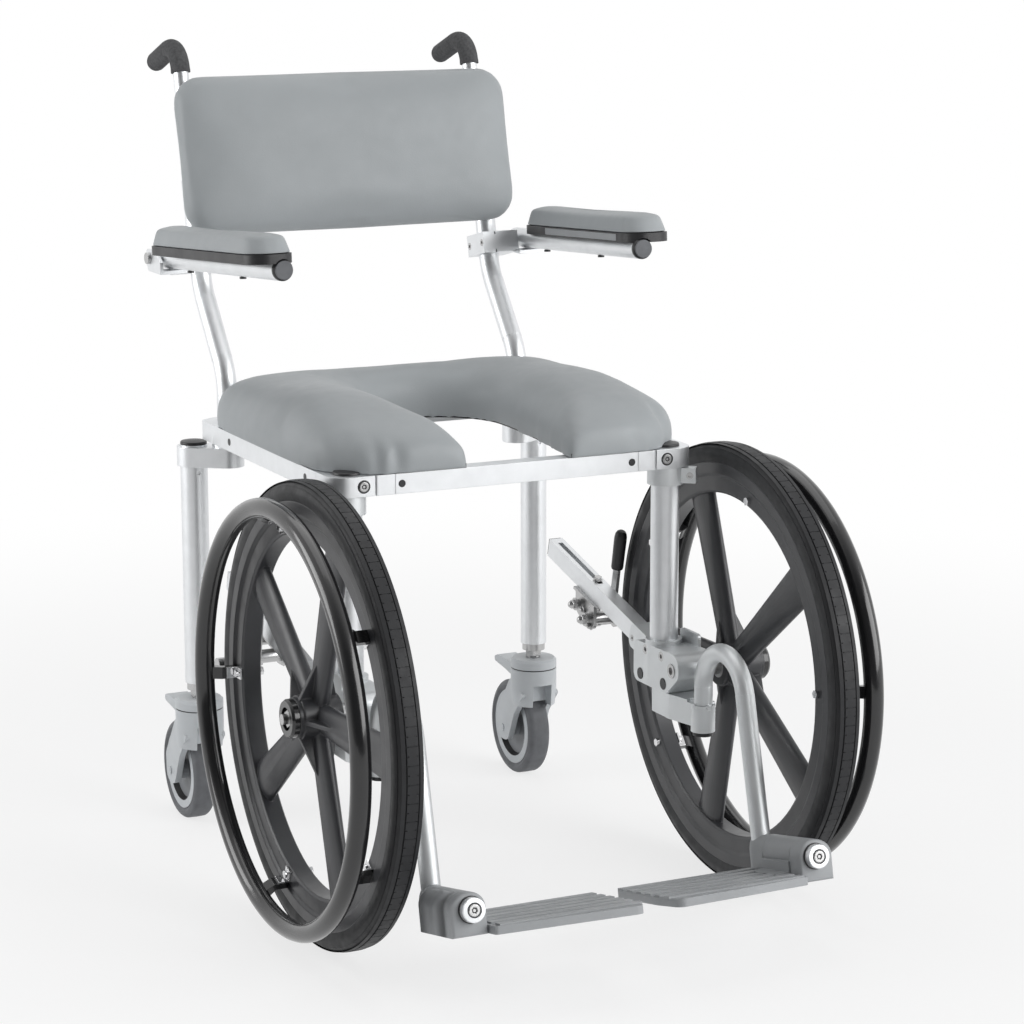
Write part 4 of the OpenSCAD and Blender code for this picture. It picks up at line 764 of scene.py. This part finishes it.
def caster_line(side):
    """Dark parting line under the caster's top disc."""
    at, axis = hinge(side + "_caster_swivel")
    turned(side + "_caster_line", at, axis, [(28.0, -13.7), (29.45, -13.5), (29.45, -12.5), (28.0, -12.3)],
           "black_plastic", side + "_caster", 48)


# Foot supports and seat frame

def foot_housing(side, s):
    """Hinge housing with a soft front edge, open round the plate's knuckle and drawn in round the hanger tube.
    Sections are in millimetres from the hinge: x outwards, z up, y along the hinge to the rear."""
    node, body = side + "_foot_housing", side + "_hanger"
    at, axis = hinge(side + "_footplate_flip")
    along = Vector(-s * axis) if (-s * axis)[1] > 0 else Vector(s * axis)
    up = Vector((0, -along.z, along.y))
    r, out, low = 18.4, 22.4, -28.0                 # inner and outer reach of the section, and its underside
    gap = 18.75                                     # radius of the room for the plate's knuckle
    front, back = 23.65, 84.35                      # ends of that room along the hinge
    lo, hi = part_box(body)
    tube_x, tube_y, small = s * ((lo.x + hi.x) / 2 - at[0]) / MM, 110.0, 14.2
    verts, faces = [], []

    def full(x_in, x_out, inset=0.0):
        """Section with a round top between two sides."""
        c = x_in + (x_out - x_in) * r / (r + out)
        a, b, h = x_in - c + inset, x_out - c - inset, r - inset
        top = [(c + (b if i < 9 else a) * abs(math.cos(math.radians(i * 10))), h * math.sin(math.radians(i * 10)))
               for i in range(18, -1, -1)]
        return top + [(c + b, low / 2), (c + b, low + inset), (c + a, low + inset), (c + a, low / 2)]

    def loft(rows):
        """Closed shell through sections at places along the hinge."""
        base, n = len(verts), len(rows[0][1])
        for y, pts in rows:
            verts.extend(Vector(at) + (Vector((s, 0, 0)) * x + along * y + up * z) * MM for x, z in pts)
        faces.extend(capped(len(rows), n, base))

    soft_edge = ((0, 2.6), (0.5, 1.4), (1.4, 0.5), (2.6, 0), (12, 0), (front, 0))
    loft([(y, full(-r, out, inset)) for y, inset in soft_edge])
    wall = [(out * math.cos(a), r * math.sin(a)) for a in np.radians(range(70, -1, -10))]
    wall += [(out, low / 2), (out, low), (gap, low), (gap, low / 2)]
    wall += [(gap * math.cos(a), gap * math.sin(a)) for a in np.radians(range(0, 71, 10))]
    loft([(front, wall), ((front + back) / 2, wall), (back, wall)])
    rear = []
    for y in (back, 88, 92, 96, 100, 104, 108, 112, 115, 118, 120.5, 122.5, 123.6, 124.1):
        t = float(blend((y - back) / (tube_y - back)))
        half = small if y < tube_y else math.sqrt(max(small ** 2 - (y - tube_y) ** 2, 1))
        rear.append((y, full(-r + (tube_x - half + r) * t, out + (tube_x + half - out) * t)))
    loft(rear)
    smoothed(piece(side + "_hinge_housing", verts, faces, SLOT[node], body, [node]))


def foot_bolt_head(side, s):
    """White ring and socket screw on the front of the foot hinge, with black rings that paint the shadow round the
    ring's base and the shade in the gap between ring and screw.
    """
    at, axis = hinge(side + "_footplate_flip")
    for name, slot, rows in (
            # black ring round the white ring's base: painted shadow
            ("foot_washer_painted_shadow", "black_plastic", [(14.6, 0.1), (14.6, 1.6), (14.0, 2.2), (8.0, 2.2)]),
            ("foot_ring", "anodised", [(13.4, 0.3), (13.4, 8.9), (12.7, 9.9), (8.4, 10.1), (7.9, 9.2)]),
            # black ring in the gap between the white ring and the screw: painted shade in that recess
            ("foot_gap_painted_shade", "black_plastic", [(8.2, 8.8), (8.0, 9.35), (6.6, 9.35), (6.4, 8.8)])):
        turned(f"{side}_{name}", at, -s * axis, rows, slot, side + "_hanger")
    socket_head(side + "_foot_screw", at, -s * axis, 6.7, 10.6, side + "_hanger")


def corner_screws():
    """Sunk steel screw heads on the front corners, each in a black ring that paints the shade round the sunk head.
    """
    lo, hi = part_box("seat_cross_bars")
    for side, s in SIDES:
        at = (s * CORNER_SCREW_X, lo.y, (lo.z + hi.z) / 2)
        # black ring round the sunk head: painted shade
        turned(side + "_corner_painted_shade_ring", at, (0, -1, 0),
               [(5.6, -0.4), (7.6, -0.4), (7.6, 0.25), (7.2, 0.5), (6.2, 0.5), (5.8, 0.1)],
               "black_plastic", "frame")
        socket_head(side + "_corner_screw", at, (0, -1, 0), 5.8, 1.1, "frame")


seat_cushion()
back_cushion()
corner_screws()
for side, s in SIDES:
    arm_cushion(side, s)
    tray_panel_painted_reflection(side, s)
    arm_end_disc(side, s)
    tyre(side, s)
    handrim_coat(side, s)
    lever_grip(side)
    lock_nuts(side, s)
    caster_line(side)
    foot_housing(side, s)
    foot_bolt_head(side, s)


# Studio

WHITE = (1, 1, 1, 1)


def any_of(tree, path, *kinds):
    """1 for rays of these kinds, else 0."""
    out = path.outputs[kinds[0]]
    for kind in kinds[1:]:
        out = add(tree, "Math", {0: out, 1: path.outputs[kind]}, operation="MAXIMUM").outputs[0]
    return out


def surround():
    """White room for the eye, with a dim side for reflections, and a low even light on the object."""
    world = bpy.data.worlds.new("studio")
    bpy.context.scene.world = world
    world.use_nodes = True
    t = world.node_tree
    back = t.nodes["Background"]
    back.inputs["Color"].default_value = WHITE
    path = add(t, "LightPath")
    seen = any_of(t, path, "Is Camera Ray", "Is Glossy Ray", "Is Transmission Ray")
    way = add(t, "TexCoord").outputs["Generated"]
    front = add(t, "VectorMath", {0: way}, operation="DOT_PRODUCT")
    front.inputs[1].default_value = (-0.42, -0.90, 0.10)
    room = add(t, "MapRange", {"Value": front.outputs["Value"]}, interpolation_type="SMOOTHSTEP",
               From_Min=-0.05, From_Max=0.95, To_Min=1.0, To_Max=0.10).outputs["Result"]
    white = add(t, "Math", {0: room, 1: path.outputs["Is Camera Ray"]}, operation="MAXIMUM").outputs[0]
    level = add(t, "MapRange", {"Value": seen, "To Max": white}, To_Min=0.26)
    t.links.new(level.outputs["Result"], back.inputs["Strength"])


def floor():
    """Pale floor that keeps the object's shadow and fades to white further out."""
    n, size, drop = 24, 6.4, 0.0004
    side = n + 1
    me = bpy.data.meshes.new("floor")
    verts = [(size * (i / n - 0.5), size * (j / n - 0.5), -drop) for j in range(side) for i in range(side)]
    quads = [(k, k + 1, k + side + 1, k + side) for k in range(n * side) if k % side < n]
    me.from_pydata(verts, [], quads)
    ob = bpy.data.objects.new("floor", me)
    bpy.context.scene.collection.objects.link(ob)
    m, t, b = shader("floor", Roughness=0.9, Specular_IOR_Level=0.1)
    co = place(t)
    shades(t, b, co, (0.93, 0.935, 0.94), spread=0.005, scale=2.0)
    far = add(t, "VectorMath", {0: co}, operation="LENGTH").outputs["Value"]
    fade = add(t, "MapRange", {"Value": far}, interpolation_type="SMOOTHSTEP",
               From_Min=0.75, From_Max=2.2, To_Min=0.74, To_Max=1.0)
    seen = any_of(t, add(t, "LightPath"), "Is Camera Ray", "Is Glossy Ray")
    share = add(t, "Math", {0: seen, 1: fade.outputs["Result"]}, operation="MULTIPLY")
    glow = add(t, "Emission", Color=WHITE, Strength=1.0)
    mix = add(t, "MixShader", {0: share.outputs[0], 1: b.outputs[0], 2: glow.outputs[0]})
    t.links.new(mix.outputs[0], t.nodes["Material Output"].inputs["Surface"])
    me.materials.append(m)


def lamp(name, at, aim, size, power):
    """Area lamp at a place, turned to a point."""
    data = bpy.data.lights.new(name, "AREA")
    data.shape, data.size, data.size_y, data.energy = "RECTANGLE", size[0], size[1], power
    ob = bpy.data.objects.new(name, data)
    bpy.context.scene.collection.objects.link(ob)
    ob.location = at
    ob.rotation_euler = (Vector(aim) - Vector(at)).to_track_quat("-Z", "Y").to_euler()


def camera():
    """Camera at the photograph's viewing angle."""
    az, el, roll, dist = math.radians(-25.51), math.radians(11.66), math.radians(-0.08), 3.52126
    image, focal_px, sensor = 1024, 3138.6, 36.0
    lo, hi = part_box("wheel_axles")
    aim = Vector((-0.026707, (lo.y + hi.y) / 2 - 0.003316, 0.470397))
    back = Vector((math.sin(az) * math.cos(el), -math.cos(az) * math.cos(el), math.sin(el)))
    right = (-back).cross(Vector((0, 0, 1))).normalized()
    up = right.cross(-back)
    r, u = right * math.cos(roll) + up * math.sin(roll), up * math.cos(roll) - right * math.sin(roll)
    data = bpy.data.cameras.new("camera")
    data.sensor_width, data.lens = sensor, focal_px / image * sensor
    data.clip_start, data.clip_end = 0.05, 60
    ob = bpy.data.objects.new("camera", data)
    bpy.context.scene.collection.objects.link(ob)
    m = Matrix((r, u, back)).transposed().to_4x4()
    m.translation = aim + back * dist
    ob.matrix_world = m
    bpy.context.scene.camera = ob


bpy.context.scene.view_settings.view_transform = "Standard"
surround()
floor()
lamp("key", (2.3, -3.05, 1.75), (0, 0, 0.5), (3.6, 2.6), 122)
lamp("fill", (-1.95, 0.7, 1.0), (-0.25, 0, 0.55), (1.3, 1.1), 17)
lamp("top", (0.1, 0.7, 3.1), (0, 0, 0.4), (2.6, 2.6), 19)
camera()
